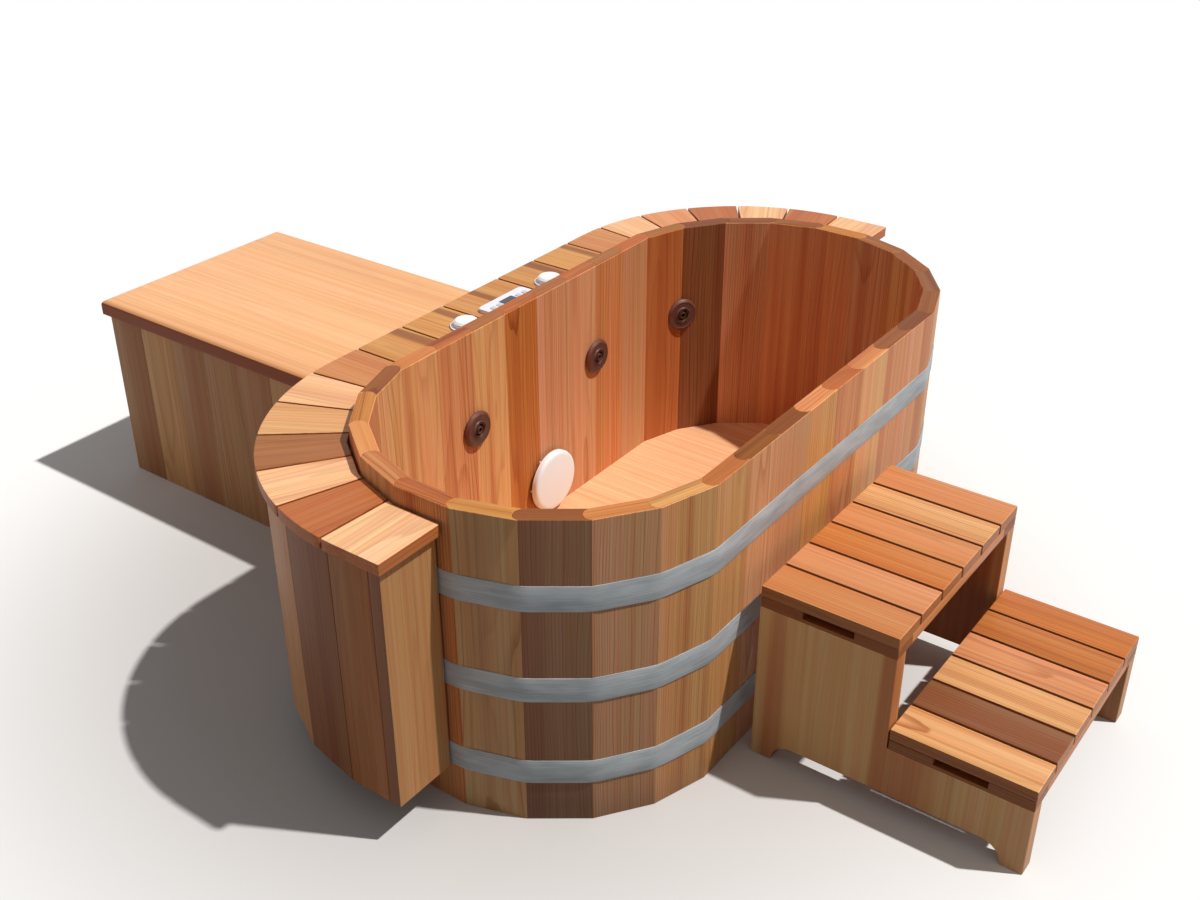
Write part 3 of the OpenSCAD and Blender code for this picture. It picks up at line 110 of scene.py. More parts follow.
class TubSizes(PropertyGroup):
    """Sizes of the tub, its apron, its cabinet and its steps."""

    rim: length_of("Rim height", "Height of the staves", float(STAVES_HIGH[2]))
    end_radius: length_of("End radius", "To the flat face of the end staves", -float(STAVES_LOW[1]))
    straight_half: length_of("Straight half", "Half the length of the straight sides", 0.390)
    stave: length_of("Stave", "Thickness of the staves", 0.038)
    end_staves: count_of("End staves", "Staves round each end", 9)
    side_staves: count_of("Side staves", "Staves along each side", 8)
    bead: length_of("Bead", "How far a stave's bead stands out", 0.013)
    play: length_of("Play", "Between a bead and its cove", 0.0001)
    croze: length_of("Croze", "Depth of the groove that holds the floor", 0.008)
    arris: length_of("Arris", "Rounding of the edges of a stave's ends", 0.0014)
    floor_boards: count_of("Floor boards", "Boards in the floor", 11)
    joist: length_of("Joist", "Width of a joist", 0.060)
    middle_joist: length_of("Middle joist", "Half the length of the middle joist", 0.586)
    band: length_of("Hoop band", "Thickness of a hoop", 0.002)
    hoop_gap: length_of("Hoop gap", "Opening of a hoop at its draw bolt", 0.046)
    hoop_bend: length_of("Hoop bend", "How far a bend runs from a stave's corner", 0.020)
    deck_corner: length_of("Deck corner", "Radius of the deck's outer corners", 0.500)
    deck_gap: length_of("Deck gap", "Between the deck and the staves", 0.006)
    slot: length_of("Slot", "Between two deck boards", 0.005)
    middle_board: length_of("Middle board", "Width of the board with the controls", 0.198)
    side_boards: count_of("Side boards", "Deck boards each side of the middle", 9)
    overhang: length_of("Overhang", "Of the deck past the skirt", 0.012)
    skirt: length_of("Skirt", "Thickness of the skirt boards", 0.022)
    skirt_joint: length_of("Skirt joint", "Between two skirt boards", 0.0015)
    wall: length_of("Wall", "Thickness of the cabinet's walls", 0.022)
    wall_boards: count_of("Wall boards", "Boards in a long wall", 8)
    far_boards: count_of("Far boards", "Boards in the far wall", 5)
    lid_boards: count_of("Lid boards", "Boards in the lid", 5)
    lid_round: length_of("Lid rounding", "Along the lid's top edges", 0.012)
    slats: count_of("Slats", "Slats in a tread", 6)
    slat_gap: length_of("Slat gap", "Between two slats", 0.006)
    side_panel: length_of("Side panel", "Thickness of the steps' sides", 0.038)
    frame_width: length_of("Frame width", "Width of the steps' side rails", 0.060)
    frame_depth: length_of("Frame depth", "Width of the steps' cross rails", 0.040)
    arch: length_of("Arch", "Height of the arch under a side", 0.044)
    foot: length_of("Foot", "Length of a foot of the steps", 0.046)
    hold_length: length_of("Hold length", "Length of a hand hold", 0.108)
    hold_height: length_of("Hold height", "Height of a hand hold", 0.016)
    seam: length_of("Seam", "Between two fixed boards", 0.0002)
    rim_tint: FloatVectorProperty(
        name="Rim tint", description="What the rim's tones are multiplied by",
        default=(0.97, 0.90, 0.68), size=3, min=0.0, max=2.0,
    )
    jet_ring: length_of("Jet ring", "Radius of a jet's ring", 0.043)
    jet_slope: length_of("Jet ring slope", "Width of the slope round a jet's ring", 0.007)
    jet_hole: length_of("Jet hole", "Radius of the hole in a jet's ring", 0.01524)
    jet_lip: length_of("Jet lip", "Width of the raised lip round that hole", 0.0052)
    jet_rise: length_of("Jet lip's rise", "How far that lip stands out", 0.0012)
    jet_sleeve: length_of("Jet sleeve", "Radius of the sleeve behind a jet's ring", 0.02194)
    jet_back: length_of("Jet ring back", "From the ball's centre to the back of the ring", 0.011)
    jet_front: length_of("Jet ring front", "From the ball's centre to the front of the ring", 0.019)
    jet_ball: length_of("Jet ball", "Radius of a jet's ball", 0.019)
    jet_flat: length_of("Jet ball's flat", "From the ball's centre to its flat back", 0.012)
    jet_collar: length_of("Jet collar", "Radius of the ball's collar", 0.009)
    jet_bore: length_of("Jet bore", "Radius of the ball's bore", 0.0055)
    jet_nose: length_of("Jet nose", "From the ball's centre to the collar's end", 0.021)
    cover_gap: length_of("Cover gap", "Behind the cover's edge", 0.009)
    cover_shell: length_of("Cover shell", "Thickness of the cover", 0.003)
    cover_fall: length_of("Cover fall", "How far the cover's face falls to its edge", 0.006)
    cover_hub: length_of("Cover hub", "Radius at which the cover's ribs begin", 0.030)


class CedarTones(PropertyGroup):
    """The colours that boards of red cedar come in, and how strongly they are figured."""

    apricot: colour_of("Apricot", "Pale orange board", "f3ba88")
    peach: colour_of("Peach", "Pale board", "f4c297")
    honey: colour_of("Honey", "Light golden board", "e0aa78")
    gold: colour_of("Gold", "Yellow brown board", "d2975b")
    amber: colour_of("Amber", "Orange board", "d08c5c")
    salmon: colour_of("Salmon", "Pink orange board", "dd996e")
    blush: colour_of("Blush", "Dull pink board", "d69c78")
    wheat: colour_of("Wheat", "Dull pale board", "d9ab80")
    rose: colour_of("Rose", "Pink brown board", "c98863")
    copper: colour_of("Copper", "Deep orange board", "ca7f45")
    rust: colour_of("Rust", "Red brown board", "bb7042")
    brown: colour_of("Brown", "Mid brown board", "a66d43")
    umber: colour_of("Umber", "Dark heartwood board", "8c5a3c")
    russet: colour_of("Russet", "Dark red brown board", "a04e15")
    chestnut: colour_of("Chestnut", "Dark orange brown board", "91572e")
    walnut: colour_of("Walnut", "Darkest board", "7c441e")
    olive: colour_of("Olive", "Deep yellow brown board", "8f540f")
    taupe: colour_of("Taupe", "Grey brown board", "ab8061")
    bark: colour_of("Bark", "Dark grey brown board", "82604a")
    sand: colour_of("Sand", "Dull sandy board", "bb8a5e")
    oat: colour_of("Oat", "Grey sandy board", "c79c75")
    tan: colour_of("Tan", "Light brown board", "c8926a")
    figure: FloatProperty(name="Figure", description="Strength of the growth rings", default=1.0,
                          min=0.0, max=2.0)
    ring: length_of("Ring width", "Between two growth rings", 0.0075)


class StudioSettings(PropertyGroup):
    """The floor, the light and the camera."""

    # The near floor colour is darker than the far one: painted shade round the tub, darkest at the
    # floor centre.
    floor: colour_of("Floor", "Colour of the floor near the tub", "cfccca")
    floor_far: colour_of("Far floor", "Colour of the floor far from the tub", "fafafa")
    bounce: colour_of("Bounce", "Colour of the floor for the light it throws back", "878583")
    floor_shade_centre: place_of("Floor centre", "Where the floor is darkest", (-0.25, 0.30, 0.0),
                           unit="LENGTH")
    sky: FloatProperty(name="Sky", description="Strength of the light from all round",
                       default=0.235, min=0.0)
    sun: FloatProperty(name="Sun", description="Strength of the key light", default=3.1, min=0.0)
    sun_from: place_of("Key light from", "Direction the key light comes from", (0.27, -0.51, 1.0))
    sun_spread: FloatProperty(name="Key light spread", description="How wide the key light looks",
                              default=math.radians(1.4), subtype="ANGLE", unit="ROTATION")
    eye: place_of("Eye", "Where the camera stands", (-2.3217, -1.4904, 1.9986), unit="LENGTH")
    target: place_of("Target", "What the camera looks at", (-0.0735, 0.1318, 0.4007), unit="LENGTH")
    lens: FloatProperty(name="Lens", description="Focal length for a 36 mm sensor", default=42.83,
                        unit="CAMERA")


def sizes():
    """The sizes as the user has set them."""
    return bpy.context.scene.tub_sizes


def tone_of(name):
    """A cedar tone by its name, as an array."""
    return np.array(getattr(bpy.context.scene.cedar_tones, name))


# ---- Shader maths ----


class Socket:
    """A node's output. Arithmetic on it adds Math nodes."""

    def __init__(self, shader, link):
        self.shader, self.link = shader, link

    def math(self, operation, *others):
        return self.shader.math(operation, self, *others)

    __add__ = __radd__ = partialmethod(math, "ADD")
    __sub__ = partialmethod(math, "SUBTRACT")
    __mul__ = __rmul__ = partialmethod(math, "MULTIPLY")
    __truediv__ = partialmethod(math, "DIVIDE")

    def __rsub__(self, other):
        return self.shader.math("SUBTRACT", other, self)

    def clamped(self):
        """The value held between 0 and 1."""
        return self.math("MINIMUM", 1.0).math("MAXIMUM", 0.0)

    def between(self, low, high):
        """0 below low, 1 above high, smooth between them."""
        settings = {"interpolation_type": "SMOOTHSTEP"}
        inputs = {"Value": self, "From Min": low, "From Max": high}
        return self.shader.node("ShaderNodeMapRange", settings, inputs)


class Shader:
    """A material's nodes round one Principled BSDF."""

    def __init__(self, name, **constants):
        self.material = bpy.data.materials.new(name)
        self.material.use_nodes = True
        self.tree = self.material.node_tree
        self.surface = self.tree.nodes["Principled BSDF"]
        self.set(**constants)

    def set(self, **sockets):
        """Sets sockets of the surface, named with _ for a space."""
        for name, value in sockets.items():
            self.plug(self.surface.inputs[name.replace("_", " ")], value)
        return self

    def plug(self, socket, value):
        """Links a socket to another node's output, or sets its own value."""
        if isinstance(value, Socket):
            self.tree.links.new(value.link, socket)
        elif socket.type == "RGBA":
            socket.default_value = (*value, 1.0)
        else:
            socket.default_value = value

    def node(self, kind, settings=None, inputs=None, output=0):
        """Adds a node, makes its settings, then gives its sockets values or links."""
        made = self.tree.nodes.new(kind)
        for name, value in (settings or {}).items():
            setattr(made, name, value)
        for name, value in (inputs or {}).items():
            self.plug(made.inputs[name], value)
        return Socket(self, made.outputs[output])

    def math(self, operation, *values):
        return self.node("ShaderNodeMath", {"operation": operation}, dict(enumerate(values)))

    def vector(self, operation, *values, output=0):
        inputs = dict(enumerate(values))
        return self.node("ShaderNodeVectorMath", {"operation": operation}, inputs, output)

    def mix(self, factor, first, second, blend="MIX"):
        """first where factor is 0 and second where it is 1, as colours."""
        settings = {"data_type": "RGBA", "blend_type": blend}
        return self.node("ShaderNodeMix", settings, {0: factor, 6: first, 7: second}, 2)

    def place(self):
        """Object coordinates, in metres in the shared frame."""
        return self.node("ShaderNodeTexCoord", output="Object")

    def attribute(self, name, output="Vector"):
        return self.node("ShaderNodeAttribute", {"attribute_name": name}, output=output)

    def noise(self, place, scale, detail=2.0, roughness=0.5):
        """Noise from 0 to 1 over place, drawn out by scale's three numbers (cells per metre)."""
        stretched = self.vector("MULTIPLY", place, scale)
        inputs = {"Vector": stretched, "Scale": 1.0, "Detail": detail, "Roughness": roughness}
        return self.node("ShaderNodeTexNoise", None, inputs)

    def seen(self):
        """1 for rays that the camera, a gloss or a clear piece sends out, 0 for the light's own."""
        outputs = self.node("ShaderNodeLightPath").link.node.outputs
        camera, glossy, clear = (Socket(self, outputs[f"Is {kind} Ray"])
                                 for kind in ("Camera", "Glossy", "Transmission"))
        return camera.math("MAXIMUM", glossy).math("MAXIMUM", clear)

    def finish(self, base, roughness, height, distance, strength):
        """The material, with its colour and roughness and a bump of a height."""
        inputs = {"Height": height, "Distance": distance, "Strength": strength}
        normal = self.node("ShaderNodeBump", None, inputs)
        return self.set(Base_Color=base, Roughness=roughness, Normal=normal).material


class Sky(Shader):
    """The world's nodes round its Background."""

    def __init__(self, world):
        world.use_nodes = True
        self.tree = world.node_tree
        self.surface = self.tree.nodes["Background"]


def grey(value):
    """The same number three times, as a colour or as a scale along each axis."""
    return (value, value, value)


# ---- Cedar ----


def cedar(name, figure=1.0, bands=0.45, rough=0.5, edge_highlight=0.4, wide=15.0, dark=0.0):
    """Red cedar. The grain runs along the third of the grain coordinates. Growth rings are rings
    round a far pith, bent by slow noise, so a board cut across them shows straight lines and one
    cut along them shows cathedrals. Pin stripes, fibres and broad bands of pink, gold and rust,
    all drawn out along the grain, lie over them, with a streak of dark heartwood where the heart
    attribute is between -1 and 1. The ends' arrises are paler, a painted highlight along the eased
    edges. wide counts the broad bands' cells in a metre, and dark widens the rust ones."""
    shader, settings = Shader(name, Specular_IOR_Level=0.22), bpy.context.scene.cedar_tones
    grain = shader.attribute("grain")
    colour = shader.attribute("tone", "Color")
    strength = shader.attribute("tone", "Alpha") * (figure * settings.figure)

    def noise(across, along, *detail):
        return shader.noise(grain, (across, across, along), *detail)

    def tinted(first, *tint):
        return shader.mix(1.0, first, tint, "MULTIPLY")

    wander, waver, wobble = noise(7.0, 1.1) - 0.5, noise(60.0, 3.0) - 0.5, noise(40.0, 2.5) - 0.5
    flat = shader.vector("MULTIPLY", grain, (1.0, 1.0, 0.0))
    across = shader.vector("LENGTH", flat, output="Value")
    turns = (across + wander * 0.060 + waver * 0.0026) / settings.ring
    whole = {"W": turns.math("FLOOR")}
    year = shader.node("ShaderNodeTexWhiteNoise", {"noise_dimensions": "1D"}, whole)
    ring = turns.math("FRACT")
    late = ring.between(0.45, 0.93) * (1.0 - ring.between(0.93, 1.0))
    late = late * late * (0.25 + 0.75 * year)
    fibre = noise(480.0, 4.0, 3.0, 0.65)
    pin = noise(190.0, 0.7, 2.0, 0.7).between(0.50, 0.72)
    streak = noise(70.0, 0.8, 3.0, 0.6)
    broad = noise(wide, 0.35, 1.0) + dark

    pink, gold = tinted(colour, 1.10, 1.02, 1.06), tinted(colour, 1.02, 1.05, 0.90)
    hue = shader.mix(broad.between(0.36, 0.50), pink, gold)
    hue = shader.mix(broad.between(0.52, 0.66), hue, tinted(colour, 0.76, 0.54, 0.44))
    base = shader.mix(bands, colour, hue)
    pale, warm = tinted(base, 1.03, 1.07, 1.04), tinted(base, 0.98, 0.85, 0.74)
    base = shader.mix(streak.between(0.34, 0.66), pale, warm)
    base = shader.mix((pin * strength * 0.42).clamped(), base, tinted(base, 0.70, 0.50, 0.38))
    base = shader.mix((late * strength * 0.62).clamped(), base, tinted(base, 0.56, 0.38, 0.28))
    heart = (shader.attribute("heart", "Fac") + wobble * 1.6).math("ABSOLUTE")
    inside = (1.0 - heart.between(0.55, 1.15)) * 0.85
    base = shader.mix(inside, base, tinted(base, 0.42, 0.29, 0.25))
    shade = 1.0 - (fibre - 0.5) * 0.5 * strength
    shades = shader.node("ShaderNodeCombineXYZ", None, {i: shade for i in range(3)})
    base = shader.vector("MULTIPLY", base, shades)
    # Painted highlight: the eased arrises at a board's ends are made paler, as if they caught the
    # light.
    base = shader.mix(shader.attribute("arris", "Fac") * edge_highlight, base, tinted(base, 1.5, 1.55, 1.7))
    roughness = (rough + (fibre - 0.5) * 0.18 - late * 0.05).clamped()
    return shader.finish(base, roughness, fibre * 0.5 - late * 0.5, 0.0005, 0.5)


# ---- Outlines, as arrays of points in a plane, anticlockwise ----


def unit(vectors):
    """Each vector divided by its length."""
    vectors = np.asarray(vectors, float)
    return vectors / np.maximum(np.linalg.norm(vectors, axis=-1, keepdims=True), 1e-12)


def left_of(vectors):
    """Each plane vector turned a quarter turn anticlockwise."""
    return np.stack([-vectors[..., 1], vectors[..., 0]], axis=-1)


def rectangle(low, high):
    """The four corners of an upright rectangle, from its lowest and highest one."""
    (x1, y1), (x2, y2) = low, high
    return np.array([[x1, y1], [x2, y1], [x2, y2], [x1, y2]])


def circle(angle, radius=1.0):
    """Points on a circle round the origin at each angle."""
    return np.stack([np.cos(angle), np.sin(angle)], axis=-1) * radius


def drawn_in(outline, distance):
    """The outline moved inwards by distance along the mitre of its two edges at each point."""
    inward = left_of(unit(np.roll(outline, -1, axis=0) - outline))
    behind = np.roll(inward, 1, axis=0)
    mitre = (inward + behind) / np.maximum(1 + (inward * behind).sum(-1, keepdims=True), 0.35)
    return outline + distance * mitre


def curve(start, corner, end, t):
    """The quadratic curve from start to end with corner as its handle, at each t from 0 to 1."""
    return (1 - t) ** 2 * start + 2 * t * (1 - t) * corner + t**2 * end


def quarter_round(radius, steps=2):
    """How far in and how far up each point of a quarter circle lies from its outer corner."""
    angle = np.linspace(0, QUARTER, steps + 1)
    return radius * (1 - np.sin(angle)), radius * (1 - np.cos(angle))


def rounded(outline, radius, steps=2, closed=True):
    """The outline with each real corner drawn as a quadratic curve of steps spans, from radius
    before the corner to radius after it."""
    before = np.roll(outline, 1, axis=0) - outline
    after = np.roll(outline, -1, axis=0) - outline
    corner = 1 + (unit(before) * unit(after)).sum(-1) > 0.02
    if not closed:
        corner[[0, -1]] = False
    short = np.minimum(np.linalg.norm(before, axis=-1), np.linalg.norm(after, axis=-1))
    reach = np.minimum(short * 0.45, radius)[:, None]
    start, end = outline + unit(before) * reach, outline + unit(after) * reach
    t = np.linspace(0, 1, steps + 1)[None, :, None]
    points = curve(start[:, None], outline[:, None], end[:, None], t)
    points = np.where(corner[:, None, None], points, outline[:, None])
    return points[corner[:, None] | (np.arange(steps + 1) == 0)]


def lifted(outline, heights, axis=2):
    """The outline at each height along an axis, as (stations, points, 3). The plane's two
    coordinates are the next two axes in turn, so the outline stays anticlockwise."""
    outline = np.broadcast_to(outline, (len(heights), *outline.shape[-2:]))
    heights = np.broadcast_to(np.asarray(heights)[:, None, None], (*outline.shape[:2], 1))
    return np.roll(np.concatenate([outline, heights], axis=-1), axis + 1, axis=-1)


def eased(outline, low, high, ease, axis=2):
    """Stations of a board with a quarter round of radius ease along both its ends' edges."""
    inset, rise = quarter_round(ease)
    rings = np.array([drawn_in(outline, d) for d in inset])
    heights = [*(low + rise), *(high - rise[::-1])]
    return lifted(np.concatenate([rings, rings[::-1]]), heights, axis)


def skin(rows, width):
    """Quads between rows of width points in closed rings, and the first and last ring as caps."""
    index = np.arange(rows * width).reshape(rows, width)
    ahead = np.roll(index, -1, axis=1)
    quads = np.stack([index[:-1], ahead[:-1], ahead[1:], index[1:]], axis=-1).reshape(-1, 4)
    return quads, [index[0, ::-1], index[-1]]


# ---- Meshes and boards ----

FIELDS = {"FLOAT": "value", "FLOAT_VECTOR": "vector", "FLOAT_COLOR": "color"}
NO_HEART = (1.0, 0.05)  # a streak a metre away, far outside the board


def put(mesh, name, kind, domain, values):
    """Writes a whole array to a mesh attribute."""
    data = mesh.attributes.new(name, kind, domain).data
    data.foreach_set(FIELDS[kind], np.ascontiguousarray(values, np.float32).ravel())


def new_mesh(name, points, faces, material, smooth=22.0):
    """An object from points and faces, smooth except across edges sharper than smooth degrees."""
    mesh = bpy.data.meshes.new(name)
    mesh.from_pydata(np.asarray(points).tolist(), [], faces)
    mesh.polygons.foreach_set("use_smooth", np.ones(len(mesh.polygons), bool))
    mesh.set_sharp_from_angle(angle=math.radians(smooth))
    mesh.materials.append(material)
    return linked(bpy.data.objects.new(name, mesh))


def linked(made):
    """Puts an object in the scene and gives it back."""
    bpy.context.scene.collection.objects.link(made)
    return made


def placed(made, node, slot, body="tub"):
    """Lets an object ride on a body and stand for a node. slot is not used."""
    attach(made, body)
    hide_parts(node)


def slot_of(material):
    """A material's own name, without the number that Blender adds to a name that is taken."""
    return material.name.split(".")[0]


def coat(material, *nodes):
    """Gives carried-over CAD nodes a material."""
    for node in nodes:
        slots = frame["nodes"][node].data.materials
        slots.clear()
        slots.append(material)


class Boards:
    """Boards of one piece. Each is a stack of outlines, joined ring to ring and closed at both
    ends. Every board has its own stretch of wood: a far pith, a slight tilt and a tone."""

    ATTRIBUTES = {
        "grain": ("FLOAT_VECTOR", "CORNER"), "heart": ("FLOAT", "CORNER"),
        "tone": ("FLOAT_COLOR", "FACE"), "arris": ("FLOAT", "FACE"),
    }

    def __init__(self, seed, vary=0.045):
        self.random = np.random.default_rng(seed)
        self.vary = vary
        self.points, self.faces, self.count = [], [], 0
        self.values = {name: [] for name in self.ATTRIBUTES}

    def add(self, stations, tone, along, out, edge=None, edge_along=None, ease_rows=2,
            figure=None, heart=None, edge_tint=(1, 1, 1)):
        """along is the way the grain runs and out the face that shows. The faces that look
        another way can have a tone of their own, edge, and the end caps' lines can run along
        edge_along. heart is the offset and half width of a dark streak, across the board."""
        rows, width = stations.shape[:2]
        quads, caps = skin(rows, width)
        points = stations.reshape(-1, 3)
        middle = (points.min(0) + points.max(0)) / 2
        pith, growth = self.pith(), self.random.uniform(0.8, 1.7)
        sides = (points[quads.ravel()] - middle) @ self.axes(along, out)
        cap_axes = self.axes(along, out) if edge_along is None else self.axes(edge_along, UP)
        ends = (points[np.concatenate(caps)] - middle) @ cap_axes
        local = np.concatenate([sides, ends])
        offset, half = heart or NO_HEART

        corner = points[quads]
        normals = [np.cross(corner[:, 2] - corner[:, 0], corner[:, 3] - corner[:, 1])]
        for cap in caps:
            spokes = points[cap] - points[cap].mean(0)
            normals.append(np.cross(spokes, np.roll(spokes, -1, axis=0)).sum(0, keepdims=True))
        facing = np.abs(unit(np.concatenate(normals)) @ unit(out)) > 0.6
        strength = self.random.uniform(0.6, 1.2) if figure is None else figure
        face_tone = tone_of(tone) * (1 + self.random.uniform(-self.vary, self.vary))
        edge_tone = face_tone if edge is None else tone_of(edge) * edge_tint
        colours = np.where(facing[:, None], face_tone, edge_tone)
        # The eased rows at both ends, which the cedar paints paler as a highlight.
        edge_highlight = np.zeros((rows - 1, width))
        edge_highlight[:ease_rows], edge_highlight[rows - 1 - ease_rows :] = 1, 1

        self.values["grain"].append((local + pith) * [growth, growth, 1.0])
        self.values["heart"].append((local[:, 0] - offset) / half)
        self.values["tone"].append(np.insert(colours, 3, strength, axis=1))
        self.values["arris"].append(np.concatenate([edge_highlight.ravel(), [0, 0]]))
        self.points.append(points)
        self.faces += (quads + self.count).tolist() + [(cap + self.count).tolist() for cap in caps]
        self.count += len(points)

    def pith(self):
        """Where the middle of the board lies from its pith: beside it for a straight figure, in
        front of it for cathedrals, and anywhere along the trunk."""
        straight = self.random.random() < 0.6
        side = self.random.uniform(0.16, 0.5) * self.random.choice([-1, 1])
        if straight:
            place = [side, self.random.uniform(-0.05, 0.05)]
        else:
            place = [self.random.uniform(-0.05, 0.05), self.random.uniform(0.10, 0.24)]
        return np.array([*place, self.random.uniform(-40, 40)])

    def axes(self, along, out):
        """Columns that turn a place into across, depth and along, tilted a degree or so."""
        along = unit(along)
        across = unit(np.cross(out, along))
        depth = np.cross(along, across)
        tilt = self.random.normal(0, 0.014, 2)
        along = unit(along + tilt[0] * across + tilt[1] * depth)
        return np.stack([across, depth, along], axis=-1)

    def box(self, low, high, tone, along, out, ease=0.0015, **settings):
        """A straight board between two corners, its outline rounded along the grain's edges."""
        low, high = np.asarray(low, float), np.asarray(high, float)
        axis = int(np.argmax(np.abs(along)))
        plane = [(axis + 1) % 3, (axis + 2) % 3]
        outline = rounded(rectangle(low[plane], high[plane]), 1.6 * ease)
        self.add(eased(outline, low[axis], high[axis], ease, axis), tone, along, out, **settings)

    def row(self, low, high, axis, count, gap, tones, along, out, **settings):
        """Boards side by side along an axis, with a gap between them, from one corner to the
        other: each is a pitch on from the one before and takes the next tone in turn."""
        low, high = np.array(low, float), np.array(high, float)
        pitch, tones = (high[axis] - low[axis] + gap) / count, tones.split()
        for i, start in enumerate(low[axis] + np.arange(count) * pitch):
            low[axis], high[axis] = start, start + pitch - gap
            self.box(low, high, tones[i % len(tones)], along, out, **settings)

    def finish(self, name, material, slot=None, body="tub"):
        """The boards as one object that stands for the node of that name."""
        made = new_mesh(name, np.concatenate(self.points), self.faces, material)
        for key, (kind, domain) in self.ATTRIBUTES.items():
            put(made.data, key, kind, domain, np.concatenate(self.values[key]))
        placed(made, name, slot or slot_of(material), body)


# ---- Staves ----

BEAD_SHOULDER = 0.0015  # flat left on each side of a bead


def tub_outline(radius):
    """The corners of the tub's faceted stadium, with its flats at radius: those of the right end
    from front to back, then those of the left end."""
    s = sizes()
    turn = math.pi / (s.end_staves + 1)
    angle = (np.arange(s.end_staves + 1) + 0.5) * turn - QUARTER
    right = circle(angle, radius / math.cos(turn / 2)) + [s.straight_half, 0]
    return np.concatenate([right, -right])


def joint_frames():
    """The joints between staves, anticlockwise from the front of the right end: the inner end,
    the outer end, the outward direction and the direction into the joint's own stave. A round
    end's corners lie on its flats' mitres, and the sides are shared out evenly between them."""
    s = sizes()
    corner_x = s.straight_half + s.end_radius * math.tan(QUARTER / (s.end_staves + 1))
    x = corner_x - np.arange(1, s.side_staves) * 2 * corner_x / s.side_staves

    def ring(radius):
        right, left = np.split(tub_outline(radius), 2)
        side = np.stack([x, np.full_like(x, radius)], axis=-1)
        return np.concatenate([right, side, left, -side])

    inner, outer = ring(s.end_radius - s.stave), ring(s.end_radius)
    out = unit(outer - inner)
    return inner, outer, out, left_of(out)


def stave_outline(j, cut=0.0, ease=0.0):
    """Stave j between two joints: the bead's arc on its own joint and the cove's arc on the next,
    both arcs of a circle with its chord on the joint. cut takes the inner face back, and ease
    both faces and, by a third of it, both arcs."""
    s = sizes()
    inner, outer, out, face = joint_frames()
    sweep = np.linspace(-1, 1, 13)

    def arc(i, gap, angles):
        """Joint i's arc, gap wider than the bead's own, with a flat shoulder at each end."""
        half = np.linalg.norm(outer[i] - inner[i]) / 2
        chord = half - BEAD_SHOULDER
        radius = (chord**2 + s.bead**2) / (2 * s.bead)
        reach = math.acos((radius - s.bead + gap) / (radius + gap))
        x = (radius + gap) * np.sin(angles * reach)
        y = radius - s.bead - (radius + gap) * np.cos(angles * reach)
        end = math.copysign(half, angles[-1])
        x, y = np.concatenate([[-end], x, [end]]), np.concatenate([[-gap], y, [-gap]])
        x = np.clip(x, -half + max(cut, ease), half - ease)
        return (inner[i] + outer[i]) / 2 + x[:, None] * out[i] + y[:, None] * face[i]

    own = arc(j, -ease / 3, sweep)
    return np.concatenate([own, arc((j + 1) % len(inner), s.play + ease / 3, -sweep)])


def build_staves(name, first, wall_tones, rim_tones, seed, material):
    """A row of staves from the ground to the rim, with the croze cut for the floor. Their faces
    are eased at both ends, and the rim has tones and lines of its own."""
    s = sizes()
    floor_low, floor_high = cad_box("floor_boards")
    low, high = floor_low[2] - s.seam, floor_high[2] + s.seam
    out = joint_frames()[2]
    boards = Boards(seed)
    for j, tone, rim in zip(range(first, len(out)), wall_tones.split(), rim_tones.split()):
        outward = unit(out[j] + out[(j + 1) % len(out)])
        whole, cut = stave_outline(j), stave_outline(j, s.croze + s.seam)
        foot = [(stave_outline(j, ease=d), z) for d, z in zip(*quarter_round(s.arris))]
        groove = [(whole, low), (cut, low), (cut, high), (whole, high)]
        top = [(outline, s.rim - z) for outline, z in foot[::-1]]
        rows = np.concatenate([lifted(outline, [z]) for outline, z in foot + groove + top])
        boards.add(rows, tone, UP, [*outward, 0], edge=rim, edge_along=[*left_of(outward), 0],
                   edge_tint=s.rim_tint[:])
    boards.finish(name, material)


class TUB_OT_staves(Operator):
    """Build the staves of the tub with their beads, coves and croze"""

    bl_idname = "tub.staves"
    bl_label = "Build Staves"

    def execute(self, context):
        material = cedar("cedar_stave", figure=1.35, rough=0.48, bands=0.6, edge_highlight=0.75)
        ends, sides = sizes().end_staves, sizes().side_staves
        rows = {
            "staves_right": (0, "tan salmon honey blush salmon salmon blush umber rust",
                             "chestnut umber chestnut brown gold chestnut chestnut walnut brown"),
            "staves_back": (ends, "tan amber blush blush copper honey salmon honey",
                            "rust brown rust brown rust brown rust amber"),
            "staves_left": (ends + sides, "honey rose salmon honey amber oat bark taupe sand",
                            "chestnut gold salmon rose rust gold chestnut amber honey"),
            "staves_front": (2 * ends + sides, "sand blush tan gold amber honey salmon blush",
                             "rust olive olive salmon rust salmon chestnut walnut"),
        }
        for seed, (name, row) in enumerate(rows.items(), 11):
            build_staves(name, *row, seed, material)
        return {"FINISHED"}


# ---- Floor ----


def clipped(outline, x1, x2):
    """The part of a convex outline between x1 and x2: its own points there, with the crossings."""
    found = outline
    for x, sign in ((x1, 1), (x2, -1)):
        after = np.roll(found, -1, axis=0)
        here, there = sign * (found[:, 0] - x), sign * (after[:, 0] - x)
        share = np.where(here * there < 0, here / np.where(here == there, 1, here - there), 0)
        both = np.stack([found, found + share[:, None] * (after - found)], axis=1)
        found = both[np.stack([here >= 0, here * there < 0], axis=1)]
    return found


